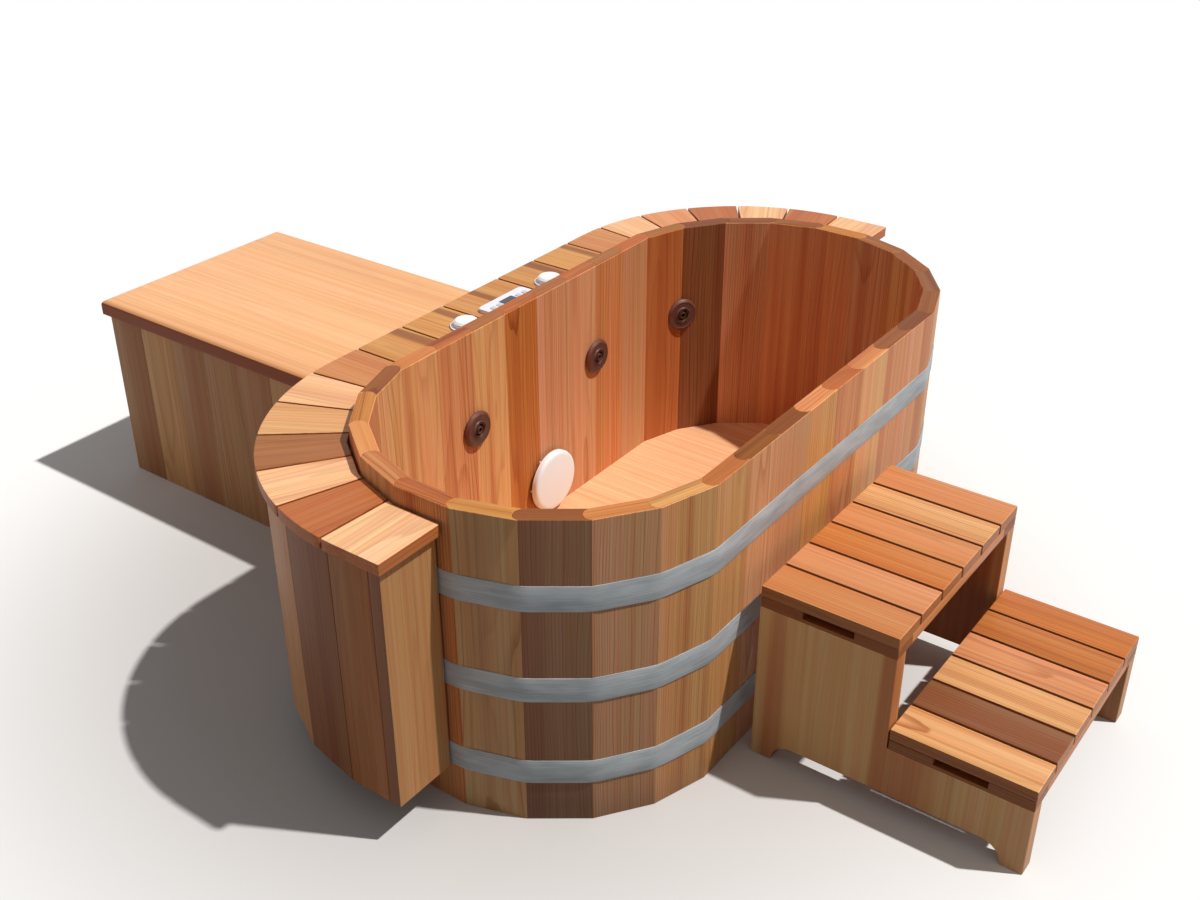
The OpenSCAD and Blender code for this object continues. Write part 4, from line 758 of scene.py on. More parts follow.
class TUB_OT_floor(Operator):
    """Build the floor boards across the tub and the joists under them"""

    bl_idname = "tub.floor"
    bl_label = "Build Floor"

    def execute(self, context):
        s = sizes()
        low, high = cad_box("floor_boards")
        outline = tub_outline(s.end_radius - s.stave + s.croze)
        width = (high[0] - low[0] + s.seam) / s.floor_boards
        boards = Boards(21)
        for i in range(s.floor_boards):
            x = low[0] + i * width
            board = clipped(outline, x, x + width - s.seam)
            rows = eased(board, low[2], high[2], ease=0.0006)
            boards.add(rows, "peach", Y, UP, figure=0.5)
        boards.finish("floor_boards", cedar("cedar_floor", figure=0.7, bands=0.2, rough=0.5))
        self.joists(s)
        return {"FINISHED"}

    def joists(self, s):
        """Three joists along the tub: the outer two are cut to its outline, as their clipped
        strip of it, and the middle one is a plain length."""
        low, high = cad_box("floor_joists")
        outline = tub_outline(s.end_radius - s.stave - s.seam)
        pitch, half, ease = (high[1] - low[1] - s.joist) / 2, s.joist / 2, 0.001
        boards = Boards(22)
        for y in (-pitch, pitch):
            strip = clipped(outline[:, ::-1], y - half, y + half)[::-1, ::-1]
            boards.add(eased(strip, low[2], high[2], ease), "brown", X, UP)
        corner = np.array([s.middle_joist, half])
        boards.box((*-corner, low[2]), (*corner, high[2]), "brown", X, UP, ease)
        boards.finish("floor_joists", cedar("cedar_joist", rough=0.6), "cedar_rough")


# ---- Hoops ----


def carried(section, path):
    """A section of (offset, height) points carried along a plane path: each point stands off the
    path by its offset along the path's mitre. Gives the (stations, points, 3) of the band."""
    right = -left_of(unit(np.diff(path, axis=0)))
    ahead, behind = np.concatenate([right, right[-1:]]), np.concatenate([right[:1], right])
    mitre = (ahead + behind) / (1 + (ahead * behind).sum(-1, keepdims=True))
    flat = path[:, None] + section[None, :, :1] * mitre[:, None]
    return np.concatenate([flat, np.broadcast_to(section[None, :, 1:], (*flat.shape[:2], 1))], -1)


def galvanised(name, brushed_along=True):
    """Zinc-coated steel: a dull blue grey, brushed along the band, with faint patches."""
    shader = Shader(name, Metallic=0.05, Specular_IOR_Level=0.25)
    place = shader.attribute("band") if brushed_along else shader.place()
    brush = shader.noise(place, (7.0, 900.0, 900.0) if brushed_along else grey(300.0), 3.0, 0.7)
    patch = shader.noise(place, (12.0, 40.0, 40.0))
    light = (patch * 0.35 + brush * 0.65).between(0.34, 0.66)
    base = shader.mix(light, linear("989fa4"), linear("c3c9cd"))
    return shader.finish(base, 0.42 + brush * 0.2, brush, 0.00025, 0.6)


class TUB_OT_hoops(Operator):
    """Build the three steel hoops, bent at each stave's corner and open at the draw bolts"""

    bl_idname = "tub.hoops"
    bl_label = "Build Hoops"

    def execute(self, context):
        s = sizes()
        material = galvanised("hoop_steel")
        ears = cad_box("hoop_ears")
        gap_x = (ears[0][0] + ears[1][0]) / 2
        radius = s.end_radius + s.seam
        right, left = np.split(tub_outline(radius), 2)
        start, end = [gap_x - s.hoop_gap / 2, radius], [gap_x + s.hoop_gap / 2, radius]
        path = rounded(np.array([start, *left, *right, end]), s.hoop_bend, 6, closed=False)
        run = np.concatenate([[0], np.cumsum(np.linalg.norm(np.diff(path, axis=0), axis=1))])
        for name in ("hoop_top", "hoop_middle", "hoop_low"):
            low, high = cad_box(name)
            band = rounded(rectangle((0, low[2]), (s.band, high[2])), radius=0.0008)
            points = carried(band, path).reshape(-1, 3)
            quads, caps = skin(len(path), len(band))
            faces = quads.tolist() + [cap.tolist() for cap in caps]
            made = new_mesh(name, points, faces, material)
            depth = np.tile(band[:, 0], len(run))
            place = np.stack([np.repeat(run, len(band)), points[:, 2], depth], axis=-1)
            put(made.data, "band", "FLOAT_VECTOR", "POINT", place)
            placed(made, name, "hoop_steel")
        for node in ("hoop_ears", "hoop_bolts"):
            coat(galvanised(f"{node}_zinc", brushed_along=False), node)
        return {"FINISHED"}


# ---- Apron ----

HEART_IN, HEART_HALF = 0.024, 0.017  # a deck board's dark streak: in from its edge, half width


class Edge:
    """The deck's outer edge: straight along the back, round at the corners, straight along the
    ends. u runs along it from the middle of the back, and d inwards from it. cuts holds where
    the slots between boards lie, from the left end to the right end."""

    def __init__(self):
        s = sizes()
        left, right = cad_box("deck_boards_left"), cad_box("deck_boards_right")
        self.radius = s.deck_corner
        self.straight = (right[1][0] - left[0][0]) / 2 - self.radius
        self.corner_y = DECK_HIGH[1] - self.radius
        self.arc = self.radius * QUARTER
        self.end = self.straight + self.arc + self.corner_y - left[0][1]
        self.pitch = (self.end - s.middle_board / 2) / s.side_boards
        slots = s.middle_board / 2 + np.arange(s.side_boards) * self.pitch
        self.cuts = np.concatenate([-slots[::-1], slots])

    def angle(self, u):
        """How far round its corner u lies: its way past the straight back over the radius."""
        return np.clip((np.abs(u) - self.straight) / self.radius, 0, QUARTER)

    def inward(self, u):
        """The unit vector into the deck, square to its edge: down the back's angle at u."""
        a = self.angle(u)
        return np.stack([-np.sign(u) * np.sin(a), -np.cos(a)], -1)

    def inward_between(self, u1, u2):
        """The inward direction half way, a hair to the right so that the middle has a side."""
        return self.inward((u1 + u2) / 2 + 1e-6)

    def point(self, u, d=0.0):
        """The place at u and d: the corner's centre, out along the angle, with what is left of u
        before the corner along the back and after it down the end."""
        a, reach = self.angle(u), self.radius - d
        across = np.minimum(np.abs(u), self.straight) + reach * np.sin(a)
        down = np.maximum(np.abs(u) - self.straight - self.arc, 0)
        return np.stack([np.sign(u) * across, self.corner_y + reach * np.cos(a) - down], -1)

    def spans(self, end, gap):
        """For each board out to end on both sides: its two cuts, and half a gap off each of
        them but the outermost two."""
        cuts = np.array([-end, *self.cuts, end])
        trims = np.array([0, *[gap / 2] * len(self.cuts), 0])
        return list(zip(cuts[:-1], cuts[1:], trims[:-1], trims[1:]))


def hit(starts, headings, outline):
    """How far each ray runs before it meets a closed outline. Cross products of the ray, the edge
    and the line between their starts give how far along both of them the crossing lies."""
    edge_x, edge_y = (np.roll(outline, -1, axis=0) - outline).T
    x, y = np.moveaxis(outline - starts[:, None], -1, 0)
    ray_x, ray_y = headings.T[..., None]
    cross = ray_x * edge_y - ray_y * edge_x
    cross = np.where(np.abs(cross) < 1e-12, 1e-12, cross)
    run, share = (x * edge_y - y * edge_x) / cross, (x * ray_y - y * ray_x) / cross
    met = (run > 0) & (share >= -1e-9) & (share <= 1 + 1e-9)
    return np.where(met, run, np.inf).min(axis=1)[:, None]


def deck_outline(edge, u1, u2, trim1, trim2):
    """A deck board from slot u1 to slot u2: its outer side follows the edge, and its inner side
    the tub, at the places that rays across the board meet."""
    s = sizes()
    wall = tub_outline(s.end_radius + s.deck_gap)
    outer = edge.point(np.linspace(u1 + trim1, u2 - trim2, 9))
    outer[0] = edge.point(u1) + left_of(edge.inward(u1)) * trim1
    outer[-1] = edge.point(u2) - left_of(edge.inward(u2)) * trim2
    heading = unit(np.linspace(edge.inward(u1), edge.inward(u2), 9))
    inner = outer + heading * hit(outer, heading, wall)
    return np.concatenate([outer, inner[::-1]])[::-1]


class TUB_OT_deck(Operator):
    """Build the deck boards, each cut to the deck's round edge and to the tub's wall"""

    bl_idname = "tub.deck"
    bl_label = "Build Deck"

    def execute(self, context):
        s, edge = sizes(), Edge()
        spans = edge.spans(edge.end, s.slot)
        count = len(spans)
        material = cedar("cedar_deck", rough=0.46, bands=0.4, edge_highlight=0.15)
        names = ("peach rust peach brown honey peach amber gold gold gold gold "
                 "gold amber peach salmon rust peach rust peach").split()
        groups = {"deck_boards_left": (0, 6), "deck_boards_back": (6, count - 6),
                  "deck_boards_right": (count - 6, count)}
        for seed, (name, (first, last)) in enumerate(groups.items(), 31):
            boards = Boards(seed)
            for i in range(first, last):
                outline = rounded(deck_outline(edge, *spans[i]), radius=0.003)
                rows = eased(outline, DECK_LOW[2], DECK_HIGH[2], ease=0.0014)
                heart = None
                if names[i] == "gold":
                    heart = (0.0 if i == count // 2 else edge.pitch / 2 - HEART_IN, HEART_HALF)
                inward = edge.inward_between(*spans[i][:2])
                # The side faces take a darker tone: real end grain at the outer and inner ends, and
                # painted shade on the slot sides between boards.
                boards.add(rows, names[i], [*inward, 0], UP, edge="rust", heart=heart)
            boards.finish(name, material)
        return {"FINISHED"}


class TUB_OT_skirt(Operator):
    """Build the skirt's upright boards and the apron's end panels"""

    bl_idname = "tub.skirt"
    bl_label = "Build Skirt"

    def execute(self, context):
        s, edge = sizes(), Edge()
        (left, near, bottom), (right, far, top) = cad_box("apron_end_panels")
        low, high = cad_box("skirt_boards")
        last = edge.straight + edge.arc + edge.corner_y - far - s.seam
        names = ("brown umber tan taupe rust honey brown amber taupe salmon rust brown "
                 "honey rust").split()
        boards = Boards(41)
        d1, d2 = s.overhang, s.overhang + s.skirt
        for i, (u1, u2, trim1, trim2) in enumerate(edge.spans(last, s.skirt_joint)):
            u1, u2 = u1 + trim1, u2 - trim2
            corners = (u2, d1), (u1, d1), (u1, d2), (u2, d2)
            board = np.array([edge.point(*corner) for corner in corners])
            rows = eased(rounded(board, radius=0.0015), low[2], high[2], ease=0.001)
            boards.add(rows, names[i % len(names)], UP, [*-edge.inward_between(u1, u2), 0])
        boards.finish("skirt_boards", cedar("cedar_skirt", rough=0.5, bands=0.7))
        boards = Boards(42)
        inside = s.straight_half + s.end_radius + s.deck_gap
        for x1, x2, tone in ((left, -inside, "sand"), (inside, right, "tan")):
            # The panels' side faces take a dark tone: painted shade for the narrow gaps beside the
            # tub, the skirt and the deck.
            boards.box((x1, near, bottom), (x2, far, top), tone, UP, -Y, ease=0.002, figure=0.6,
                       edge="umber")
        boards.finish("apron_end_panels", cedar("cedar_panel", rough=0.5, bands=0.3))
        return {"FINISHED"}


# ---- Cabinet ----


def framing(name, axis):
    """Rough sawn cedar for framing, on Object coordinates: long fibres along an axis and slow
    patches of two browns."""
    shader = Shader(name, Specular_IOR_Level=0.3)
    place = shader.place()
    scale = np.full(3, 170.0)
    scale[axis] = 5.0
    fibre = shader.noise(place, scale, 4.0, 0.6)
    slow = shader.noise(place, scale / 9)
    base = shader.mix(slow.between(0.3, 0.7), linear("b87846"), linear("d39a62"))
    base = shader.mix(fibre.between(0.35, 0.75) * 0.45, base, linear("7c4a2b"))
    return shader.finish(base, 0.65, fibre, 0.0006, 0.6)


class TUB_OT_cabinet(Operator):
    """Build the cabinet's wall boards, and coat its posts, rails and floor"""

    bl_idname = "tub.cabinet"
    bl_label = "Build Cabinet"

    def execute(self, context):
        s = sizes()
        low, high = cad_box("cabinet_walls")
        boards = Boards(51)
        for out, x in ((-X, low[0]), (X, high[0] - s.wall)):
            boards.row((x, *low[1:]), (x + s.wall, *high[1:]), 1, s.wall_boards, s.seam,
                       "tan tan honey tan tan tan honey tan", UP, out, ease=0.0007)
        inset = s.wall + 1.5 * s.seam
        boards.row((low[0] + inset, high[1] - s.wall, low[2]), (high[0] - inset, *high[1:]), 0,
                   s.far_boards, s.seam, "tan honey tan tan tan", UP, Y, ease=0.0007)
        boards.finish("cabinet_walls", cedar("cedar_wall", rough=0.5, bands=0.5, wide=10.0))
        coat(framing("cedar_frame", 2), "cabinet_frame")
        coat(framing("cedar_batten", 0), "lid_battens")
        coat(framing("cedar_apron_frame", 2), "apron_frame")
        return {"FINISHED"}


class TUB_OT_lid(Operator):
    """Build the lid's boards, rounded along the top of its near and far edges"""

    bl_idname = "tub.lid"
    bl_label = "Build Lid"

    def execute(self, context):
        s = sizes()
        (x_low, y_low, z_low), (x_high, y_high, z_high) = cad_box("lid_boards")
        width = (x_high - x_low + s.seam) / s.lid_boards
        inset = quarter_round(s.lid_round, 6)[0]

        def top(distance):
            """Height of the lid at a distance in from a rounded edge, along a quarter circle."""
            short = np.maximum(s.lid_round - distance, 0)
            return z_high - s.lid_round + np.sqrt(s.lid_round**2 - short**2)

        boards = Boards(61, 0.012)
        for i in range(s.lid_boards):
            x1 = x_low + i * width
            x2 = x1 + width - s.seam
            xs = np.array([*(x1 + (inset[::-1] if i == 0 else inset[-1:])), x2])
            rows = []
            for y in (y_low, *(y_high - inset)):
                section = np.stack([np.minimum(top(xs - x_low), top(y_high - y)), xs], -1)
                rows.append(lifted(np.array([[z_low, x1], *section, [z_low, x2]]), [y], 1))
            boards.add(np.concatenate(rows), "apricot", Y, UP, ease_rows=0, figure=0.5,
                       edge="russet")
        material = cedar("cedar_lid", figure=0.5, bands=0.26, rough=0.42, wide=9.0)
        boards.finish("lid_boards", material, body="lid")
        return {"FINISHED"}


# ---- Steps ----


class TUB_OT_steps(Operator):
    """Build the steps: sides with arched feet, frames with hand holds and slatted treads"""

    bl_idname = "tub.steps"
    bl_label = "Build Steps"

    def execute(self, context):
        s = sizes()
        upper, lower = cad_box("steps_slats_upper"), cad_box("steps_slats_lower")
        material = self.sides(upper, lower)
        tones = {"steps_slats_upper": (upper, "amber salmon copper amber honey amber"),
                 "steps_slats_lower": (lower, "honey umber honey salmon copper copper")}
        for seed, (name, ((low, high), names)) in enumerate(tones.items(), 73):
            boards = Boards(seed)
            boards.row(low, high, 0, s.slats, s.slat_gap, names, Y, UP, ease=0.0018, edge="brown")
            boards.finish(name, material, body="steps")
        return {"FINISHED"}

    def sides(self, upper, lower):
        """The sides and the frames that carry the slats."""
        s = sizes()
        low, high = cad_box("steps_sides")
        thickness = upper[0][2] - high[2] - 2 * s.seam
        under = lower[0][2] - 2 * s.seam - thickness
        outline = self.side_outline(low[1], upper[0][1], high[1], under, high[2])
        outline = rounded(outline, radius=0.0025)
        boards = Boards(71)
        for x, tone, out in ((low[0], "wheat", -X), (high[0] - s.side_panel, "tan", X)):
            rows = eased(outline, x, x + s.side_panel, ease=0.0022, axis=0)
            boards.add(rows, tone, UP, out, figure=0.3, edge="sand")
        material = cedar("cedar_step_side", rough=0.46, bands=1.0, wide=14.0, dark=0.08)
        boards.finish("steps_sides", material, "cedar_steps", "steps")
        material = cedar("cedar_steps", figure=1.25, rough=0.42, bands=0.4)
        boards = Boards(72)
        for box in (upper, lower):
            self.frame_boards(boards, *box, thickness)
        boards.finish("steps_frame", material, body="steps")
        return material

    def side_outline(self, y1, y2, y3, low_top, high_top):
        """The stepped side in the (y, z) plane, with a quarter round on each foot: from the front
        foot under the arch to the back, up the back, and down over the two treads."""
        s = sizes()
        turn = circle(np.linspace(0, QUARTER, 9), s.arch)
        front = np.array([y1 + s.foot + s.arch, 0]) + turn * [-1, 1]
        back = np.array([y3 - s.foot - s.arch, 0]) + turn
        return np.array([[y1, 0], *front, *back[::-1], [y3, 0], [y3, high_top], [y2, high_top],
                         [y2, low_top], [y1, low_top]])

    def frame_boards(self, boards, low, high, thickness):
        """Two side rails with a hand hold cut from their tops, and two cross rails between."""
        s, ease = sizes(), 0.0018
        top = low[2] - s.seam
        bottom, deep = top - thickness, top - s.hold_height
        middle = (low[1] + high[1]) / 2
        a, b = middle - s.hold_length / 2, middle + s.hold_length / 2
        rail = rounded(np.array([[low[1], bottom], [high[1], bottom], [high[1], top], [b, top],
                                 [b, deep], [a, deep], [a, top], [low[1], top]]), ease)
        for x, out in ((low[0], -X), (high[0] - s.frame_width, X)):
            boards.add(eased(rail, x, x + s.frame_width, ease, axis=0), "chestnut", Y, out)
        inner = low[0] + s.frame_width + s.seam, high[0] - s.frame_width - s.seam
        for y in (low[1], high[1] - s.frame_depth):
            boards.box((inner[0], y, bottom), (inner[1], y + s.frame_depth, top), "amber", X, -Y)


# ---- Turned fittings ----

TURNS = 96  # spans round a turned piece
BEND = 30.0  # degrees between two faces of a turned piece that still look smooth
JET_CORNER = 0.0005  # rounding of a jet ring's corners, and width of its slots' slopes
BOWL_PLAY = 0.0004  # between a jet's ball and its bowl


def spokes(axis, angle):
    """Unit vectors square to an axis at each angle round it, and the axis as a unit vector."""
    axis = unit(axis)
    side = unit(np.cross(UP, axis))
    return np.cos(angle)[..., None] * side + np.sin(angle)[..., None] * np.cross(axis, side), axis


def lathe(profile, place, axis, lift=None):
    """Points and faces of a closed profile of (radius, height) points, anticlockwise, turned round
    an axis: the point (r, h) at angle a goes to place + h * axis + r * spoke(a). lift gives an
    array of (points, TURNS) to add to the heights."""
    angle = np.arange(TURNS) / TURNS * 2 * math.pi
    spoke, axis = spokes(axis, angle)
    radius, height = profile[:, :1], profile[:, 1:]
    height = height + (np.zeros(TURNS) if lift is None else lift(radius, height, angle))
    points = np.asarray(place) + radius[..., None] * spoke + height[..., None] * axis
    index = np.arange(len(profile) * TURNS).reshape(len(profile), TURNS)
    along, ahead = np.roll(index, -1, axis=1), np.roll(index, -1, axis=0)
    quads = np.stack([index, along, np.roll(ahead, -1, axis=1), ahead], -1).reshape(-1, 4)
    return points.reshape(-1, 3), quads.tolist()


def bronze(name, rim_code, face_code, edge):
    """Bronze-brown moulded plastic: one brown outside the edge radius and another inside it, with
    fine turning marks and a mottled, slightly scuffed face."""
    shader = Shader(name, Specular_IOR_Level=0.45)
    place = shader.place()
    radius = shader.attribute("radius", "Fac")
    patch = shader.noise(place, grey(120.0), 3.0)
    fine = shader.noise(place, grey(900.0))
    marks = (radius * 5200.0).math("SINE") * 0.5
    base = shader.mix(radius.between(edge, edge + 0.001), linear(face_code), linear(rim_code))
    base = shader.mix(patch.between(0.35, 0.75) * 0.35, base, linear("7a4c3c"))
    return shader.finish(base, 0.36 + fine * 0.2, fine + marks, 0.0001, 0.5)


def plastic(name, code, rough=0.3, tint="ffffff"):
    """Moulded plastic: a faint cloud of tint over the colour and a fine orange-peel skin."""
    shader = Shader(name, Specular_IOR_Level=0.5)
    place = shader.place()
    cloud, peel = shader.noise(place, grey(14.0)), shader.noise(place, grey(1300.0))
    tinted = tuple(a * b for a, b in zip(linear(code), linear(tint)))
    base = shader.mix(cloud.between(0.3, 0.7) * 0.35, linear(code), tinted)
    return shader.finish(base, rough + peel * 0.12, peel, 0.00008, 0.6)


def steel(name, code, rough):
    """Bare or plated steel with fine lengthwise scratches."""
    shader = Shader(name, Metallic=0.9, Specular_IOR_Level=0.5)
    place = shader.place()
    scratch = shader.noise(place, (900.0, 40.0, 900.0), 3.0, 0.7)
    patch = shader.noise(place, grey(60.0))
    dull = tuple(0.7 * c for c in linear(code))
    base = shader.mix(patch.between(0.3, 0.7) * 0.4, linear(code), dull)
    return shader.finish(base, rough + scratch * 0.25, scratch, 0.0001, 0.4)


def coats(make, **rows):
    """Coats nodes with materials of one kind, from a name, a colour, a roughness and the nodes."""
    for name, (code, rough, *nodes) in rows.items():
        coat(make(name, code, rough), *nodes)


class TUB_OT_jets(Operator):
    """Build the jets' turning rings and swivelling nozzles, and coat their bodies and nuts"""

    bl_idname = "tub.jets"
    bl_label = "Build Jets"

    def execute(self, context):
        joints = {joint["name"]: joint for joint in frame["joints"]}
        ring_finish = bronze("jet_ring_bronze", "6a3527", "5b3a31", 0.0365)
        ball_finish = bronze("jet_ball_bronze", "4a2e27", "4a2e27", 0.05)
        ring, ball = self.ring_profile(sizes()), self.ball_profile(sizes())
        for side in ("left", "middle", "right"):
            joint = joints[f"jet_ring_{side}_turn"]
            self.turned(f"jet_ring_{side}", ring, joint, ring_finish, self.slots)
            self.turned(f"jet_ball_{side}", ball, joint, ball_finish)
        coats(plastic, jet_body_plastic=("4a2b22", 0.35, "jet_bodies"),
              nut_plastic=("d8d8d4", 0.4, "jet_nuts"))
        return {"FINISHED"}

    def turned(self, node, profile, joint, material, lift=None):
        """A profile turned round a joint's axis, with each vertex's radius as an attribute."""
        mesh = lathe(profile, joint["pos_m"], joint["axis"], lift)
        made = new_mesh(node, *mesh, material, BEND)
        put(made.data, "radius", "FLOAT", "POINT", np.repeat(profile[:, 0], TURNS))
        placed(made, node, slot_of(material), node)

    def ring_profile(self, s):
        """A sloped ring with a raised lip round its hole and a sleeve behind it. Heights are from
        the ball's centre."""
        face, slope, hole = s.jet_ring, s.jet_ring - s.jet_slope, s.jet_hole
        back, front, high = s.jet_back, s.jet_front, s.jet_front + s.jet_rise
        lip, dip = hole + s.jet_lip, s.jet_front - 0.0008
        bowl = s.jet_ball + BOWL_PLAY
        mouth = math.sqrt(bowl**2 - hole**2)
        return rounded(np.array([
            (s.jet_sleeve, -s.jet_ball), (s.jet_sleeve, back), (face, back), (face, back + 0.0025),
            (slope + 0.0006, front), (slope - 0.0012, front), (slope - 0.0018, dip),
            (slope - 0.0030, dip), (lip + 0.0012, front - s.jet_rise), (lip, high),
            *((hole + d, high) for d in (0.0038, 0.0034, 0.0030, 0.0018, 0.0014, 0.0008)),
            (hole, front + 0.0004), (hole, mouth), (bowl * 0.94, bowl * 0.34), (bowl, 0.0),
            (bowl * 0.94, -bowl * 0.34), (hole, -mouth), (hole, -s.jet_ball),
        ]), JET_CORNER)

    def slots(self, radius, height, angle):
        """Two curved slots sunk into the ring's lip, where a smooth window of the radius and a
        smooth window of the angle are both open."""
        s = sizes()
        half, middle, depth = 0.0013, 0.0024, 0.0022  # of a slot, across the lip
        first, gap, slope = math.radians(50), 0.62, 0.08  # of the slots, round the ring
        across = np.abs(radius - s.jet_hole - middle)
        aside = np.abs((angle - first) % math.pi - QUARTER)
        open_across = np.clip((half - across) / JET_CORNER, 0, 1) * (height > s.jet_front)
        return -depth * open_across * np.clip((aside - gap) / slope, 0, 1)

    def ball_profile(self, s):
        """A ball, cut off flat behind, with a bored collar in front."""
        r, collar, bore, nose = s.jet_ball, s.jet_collar, s.jet_bore, s.jet_nose
        polar = np.linspace(math.acos(-s.jet_flat / r), math.asin(collar / r), 20)
        return np.array([
            (bore, -s.jet_flat), *zip(r * np.sin(polar), r * np.cos(polar)),
            (collar, nose - 0.0012), (collar - 0.0004, nose - 0.0004), (collar - 0.0012, nose),
            (bore + 0.0008, nose), (bore + 0.0002, nose - 0.0003), (bore, nose - 0.0009),
        ])


class TUB_OT_fittings(Operator):
    """Build the suction cover, and coat the drain, the deck controls and the pipes"""

    bl_idname = "tub.fittings"
    bl_label = "Build Fittings"

    def execute(self, context):
        self.cover(plastic("cover_plastic", "f8fbfd", 0.4, "fdfdff"))
        coats(steel, drain_brass=("a98f5c", 0.3, "drain_fitting"))
        coats(
            plastic,
            cover_fitting_plastic=("f2ece8", 0.35, "suction_fitting"),
            plug_rubber=("1d1d1e", 0.6, "drain_plug"),
            control_plastic=("eeeef8", 0.3, "air_control_bodies", "panel_housing"),
            knob_plastic=("f6f5f8", 0.22, "air_knob_left", "air_knob_right"),
            window_plastic=("20262c", 0.12, "panel_window"),
            button_plastic=("c9cdd6", 0.3, *(f"button_{i}" for i in range(1, 5))),
            pipe_plastic=("eceae4", 0.3, "water_manifold", "equipment_pipes"),
            air_plastic=("c9ced2", 0.3, "air_manifold"),
        )
        return {"FINISHED"}

    def cover(self, material):
        """A domed shell on six ribs. Heights are from the wall. Its face falls by the square of the
        radius and turns into the side along a quadratic curve."""
        s = sizes()
        low, high = cad_box("suction_cover")
        middle = (low + high) / 2
        place = np.array([middle[0], s.end_radius - s.stave, middle[2]])
        radius, front, base = (high[0] - low[0]) / 2, place[1] - low[1], place[1] - high[1]
        shell, gap, fall = s.cover_shell, s.cover_gap, s.cover_fall
        pole, shoulder, side, ease = 0.00005, 0.86, 2.2 * fall, 0.0008

        def dome(r, top):
            """The face from its middle out, then the turn into the side, out to radius r."""
            face = np.linspace(pole, shoulder * r, 14)
            face = np.stack([face, top - fall * (face / r) ** 2], -1)
            start = np.array([shoulder * r, top - fall * shoulder**2])
            corner, end = np.array([r, top - fall]), np.array([r, top - side])
            t = np.linspace(0, 1, 9)[1:, None]
            return np.concatenate([face, curve(start, corner, end, t)])

        edge = radius - shell
        foot = [(edge, gap + ease), (edge + ease, gap), (radius - ease, gap), (radius, gap + ease)]
        profile = np.concatenate([dome(edge, front - shell), foot, dome(radius, front)[::-1]])
        points, faces = lathe(profile, place, -Y)
        angle = np.arange(6) * math.pi / 3
        (out, axis), (across, _) = spokes(-Y, angle), spokes(-Y, angle + QUARTER)
        sides = np.array([(0, 1, 3, 2), (4, 6, 7, 5), (0, 4, 5, 1), (2, 3, 7, 6), (0, 2, 6, 4),
                          (1, 5, 7, 3)])
        for i in range(6):
            faces += (sides + len(points)).tolist()
            corners = [place + r * out[i] + w * across[i] + h * axis
                       for r in (s.cover_hub, radius - shell / 2)
                       for w in (-shell / 2, shell / 2) for h in (base, gap + shell)]
            points = np.concatenate([points, corners])
        made = new_mesh("suction_cover", points, faces, material, BEND)
        placed(made, "suction_cover", "cover_plastic")


class TUB_OT_equipment(Operator):
    """Coat the pump, the filter, the heater, the valves, the hinges and the control box"""

    bl_idname = "tub.equipment"
    bl_label = "Build Equipment"

    def execute(self, context):
        coats(
            plastic,
            pump_plastic=("23282c", 0.42, "pump_wet_end"),
            motor_paint=("4b5a66", 0.4, "pump_motor"),
            filter_plastic=("39434b", 0.38, "filter_canister"),
            box_paint=("c6c8c6", 0.45, "control_box"),
            valve_plastic=("e6e5e0", 0.32, "valve_bodies"),
            gate_plastic=("a3292a", 0.35, "valve_gate_suction", "valve_gate_return"),
        )
        coats(
            steel,
            rotor_steel=("b9bcc0", 0.25, "pump_rotor"),
            heater_steel=("c4c7ca", 0.2, "heater"),
            hinge_steel=("c9ccd0", 0.22, "lid_hinges_fixed", "lid_hinges_moving"),
        )
        return {"FINISHED"}


# ---- Studio ----

SUN_COLOUR = (1.0, 0.985, 0.96)


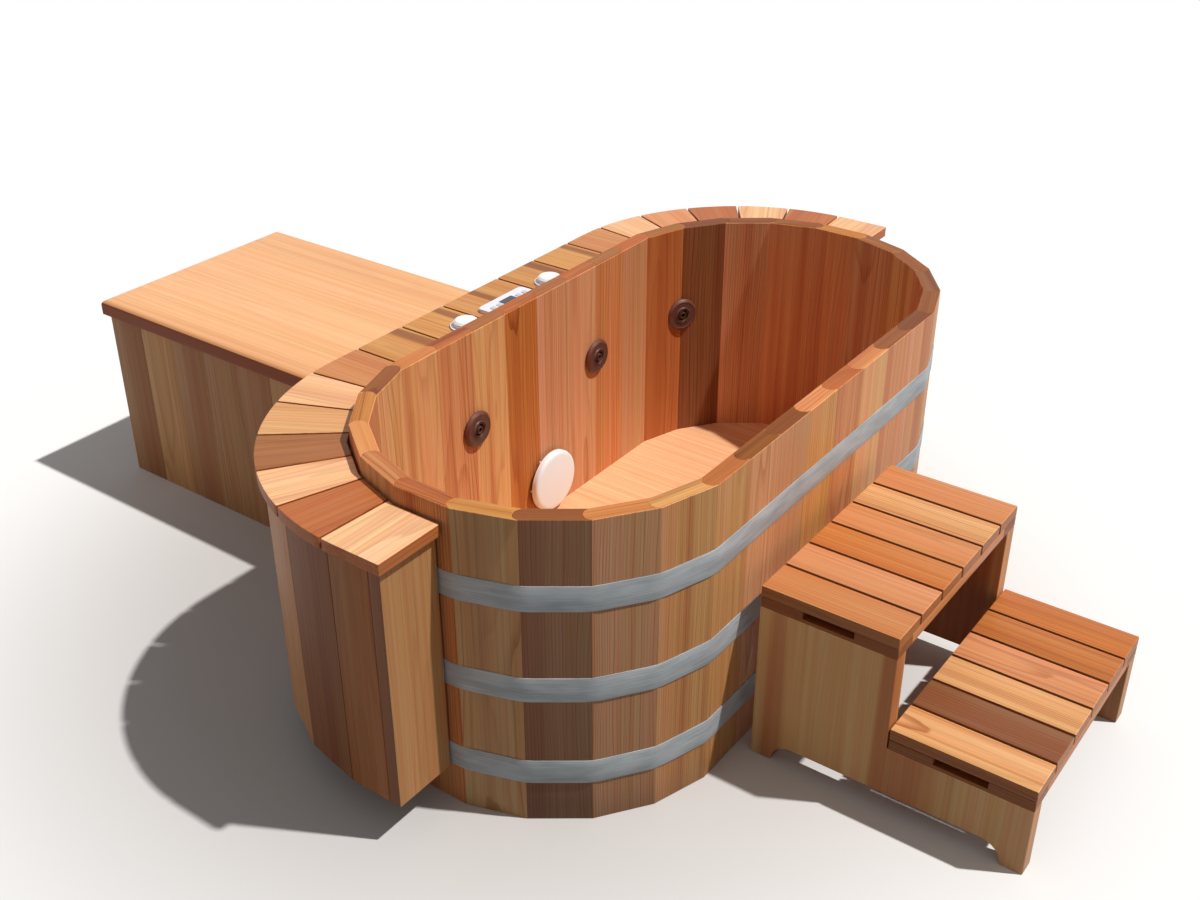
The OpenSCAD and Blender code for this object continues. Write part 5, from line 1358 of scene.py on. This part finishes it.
class TUB_OT_studio(Operator):
    """Build the floor, the light and the camera"""

    bl_idname = "tub.studio"
    bl_label = "Build Studio"

    def execute(self, context):
        settings = context.scene.tub_studio
        self.floor(settings)
        self.light(settings, context.scene)
        self.camera(settings, context.scene)
        return {"FINISHED"}

    def floor(self, settings):
        """A flat disc under the object with painted shade round the tub, that fades to white for
        the camera far away.
        """
        radii = (40.0, 12.0, 4.0, 1.5)
        angle = np.arange(TURNS) / TURNS * 2 * math.pi
        flat = np.concatenate([circle(angle, radius) for radius in radii])
        quads, caps = skin(len(radii), TURNS)
        shader = Shader("studio_floor", Roughness=0.8, Specular_IOR_Level=0.05)
        place = shader.vector("SUBTRACT", shader.place(), settings.floor_shade_centre[:])
        away, seen = shader.vector("LENGTH", place, output="Value"), shader.seen()
        # Painted shade: the floor is darker near its centre by the tub and pales out to the far
        # colour.
        colour = shader.mix(away.between(0.60, 1.60), settings.floor[:], settings.floor_far[:])
        shader.set(Base_Color=shader.mix(seen, settings.bounce[:], colour))
        white = shader.node("ShaderNodeEmission", None, {"Color": grey(1.0), "Strength": 1.0})
        surface, output = shader.surface.outputs[0], shader.tree.nodes["Material Output"]
        inputs = {0: away.between(2.3, 4.2) * seen, 1: Socket(shader, surface), 2: white}
        shader.plug(output.inputs["Surface"], shader.node("ShaderNodeMixShader", None, inputs))
        faces = quads.tolist() + [caps[1].tolist()]
        new_mesh("studio_floor", lifted(flat, [0.0])[0], faces, shader.material)

    def light(self, settings, scene):
        """A white sky that is full white to the camera and softer as a light, and one soft sun."""
        scene.world = bpy.data.worlds.new("studio_sky")
        sky = Sky(scene.world)
        strength = sky.seen() * (1.0 - settings.sky) + settings.sky
        sky.set(Color=grey(1.0), Strength=strength)
        lamp = bpy.data.lights.new("studio_sun", "SUN")
        lamp.energy, lamp.angle, lamp.color = settings.sun, settings.sun_spread, SUN_COLOUR
        sun = linked(bpy.data.objects.new("studio_sun", lamp))
        sun.rotation_mode = "QUATERNION"
        sun.rotation_quaternion = Vector(settings.sun_from).to_track_quat("Z", "Y")

    def camera(self, settings, scene):
        """A camera at eye that looks at target, and plain colours without a film curve."""
        lens = bpy.data.cameras.new("studio_camera")
        lens.sensor_width, lens.lens, lens.clip_end = 36.0, settings.lens, 200.0
        camera = linked(bpy.data.objects.new("studio_camera", lens))
        heading = Vector(settings.target) - Vector(settings.eye)
        camera.location = settings.eye
        camera.rotation_mode = "QUATERNION"
        camera.rotation_quaternion = heading.to_track_quat("-Z", "Y")
        scene.camera = camera
        scene.view_settings.view_transform = "Standard"


# ---- Add-on ----


class TUB_PT_panel(Panel):
    """Lists the settings and the steps that build the tub"""

    bl_label = "Soaking Tub"
    bl_idname = "TUB_PT_panel"
    bl_space_type = "VIEW_3D"
    bl_region_type = "UI"
    bl_category = "Soaking Tub"

    def draw(self, context):
        for group in (getattr(context.scene, name) for name in GROUPS):
            box = self.layout.box()
            for name in group.bl_rna.properties.keys():
                if name not in ("rna_type", "name"):
                    box.prop(group, name)
        for operator in OPERATORS:
            self.layout.operator(operator.bl_idname)


GROUPS = {"tub_sizes": TubSizes, "cedar_tones": CedarTones, "tub_studio": StudioSettings}
OPERATORS = (
    TUB_OT_staves, TUB_OT_floor, TUB_OT_hoops, TUB_OT_deck, TUB_OT_skirt, TUB_OT_cabinet,
    TUB_OT_lid, TUB_OT_steps, TUB_OT_jets, TUB_OT_fittings, TUB_OT_equipment, TUB_OT_studio,
)


def register():
    for group in (*GROUPS.values(), *OPERATORS, TUB_PT_panel):
        bpy.utils.register_class(group)
    for name, group in GROUPS.items():
        setattr(bpy.types.Scene, name, PointerProperty(type=group))


def unregister():
    for name in GROUPS:
        delattr(bpy.types.Scene, name)
    for group in (TUB_PT_panel, *reversed(OPERATORS), *GROUPS.values()):
        bpy.utils.unregister_class(group)


def main():
    """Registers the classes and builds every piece."""
    register()
    for operator in OPERATORS:
        getattr(bpy.ops.tub, operator.bl_idname.split(".")[1])()


if __name__ == "__main__":
    main()
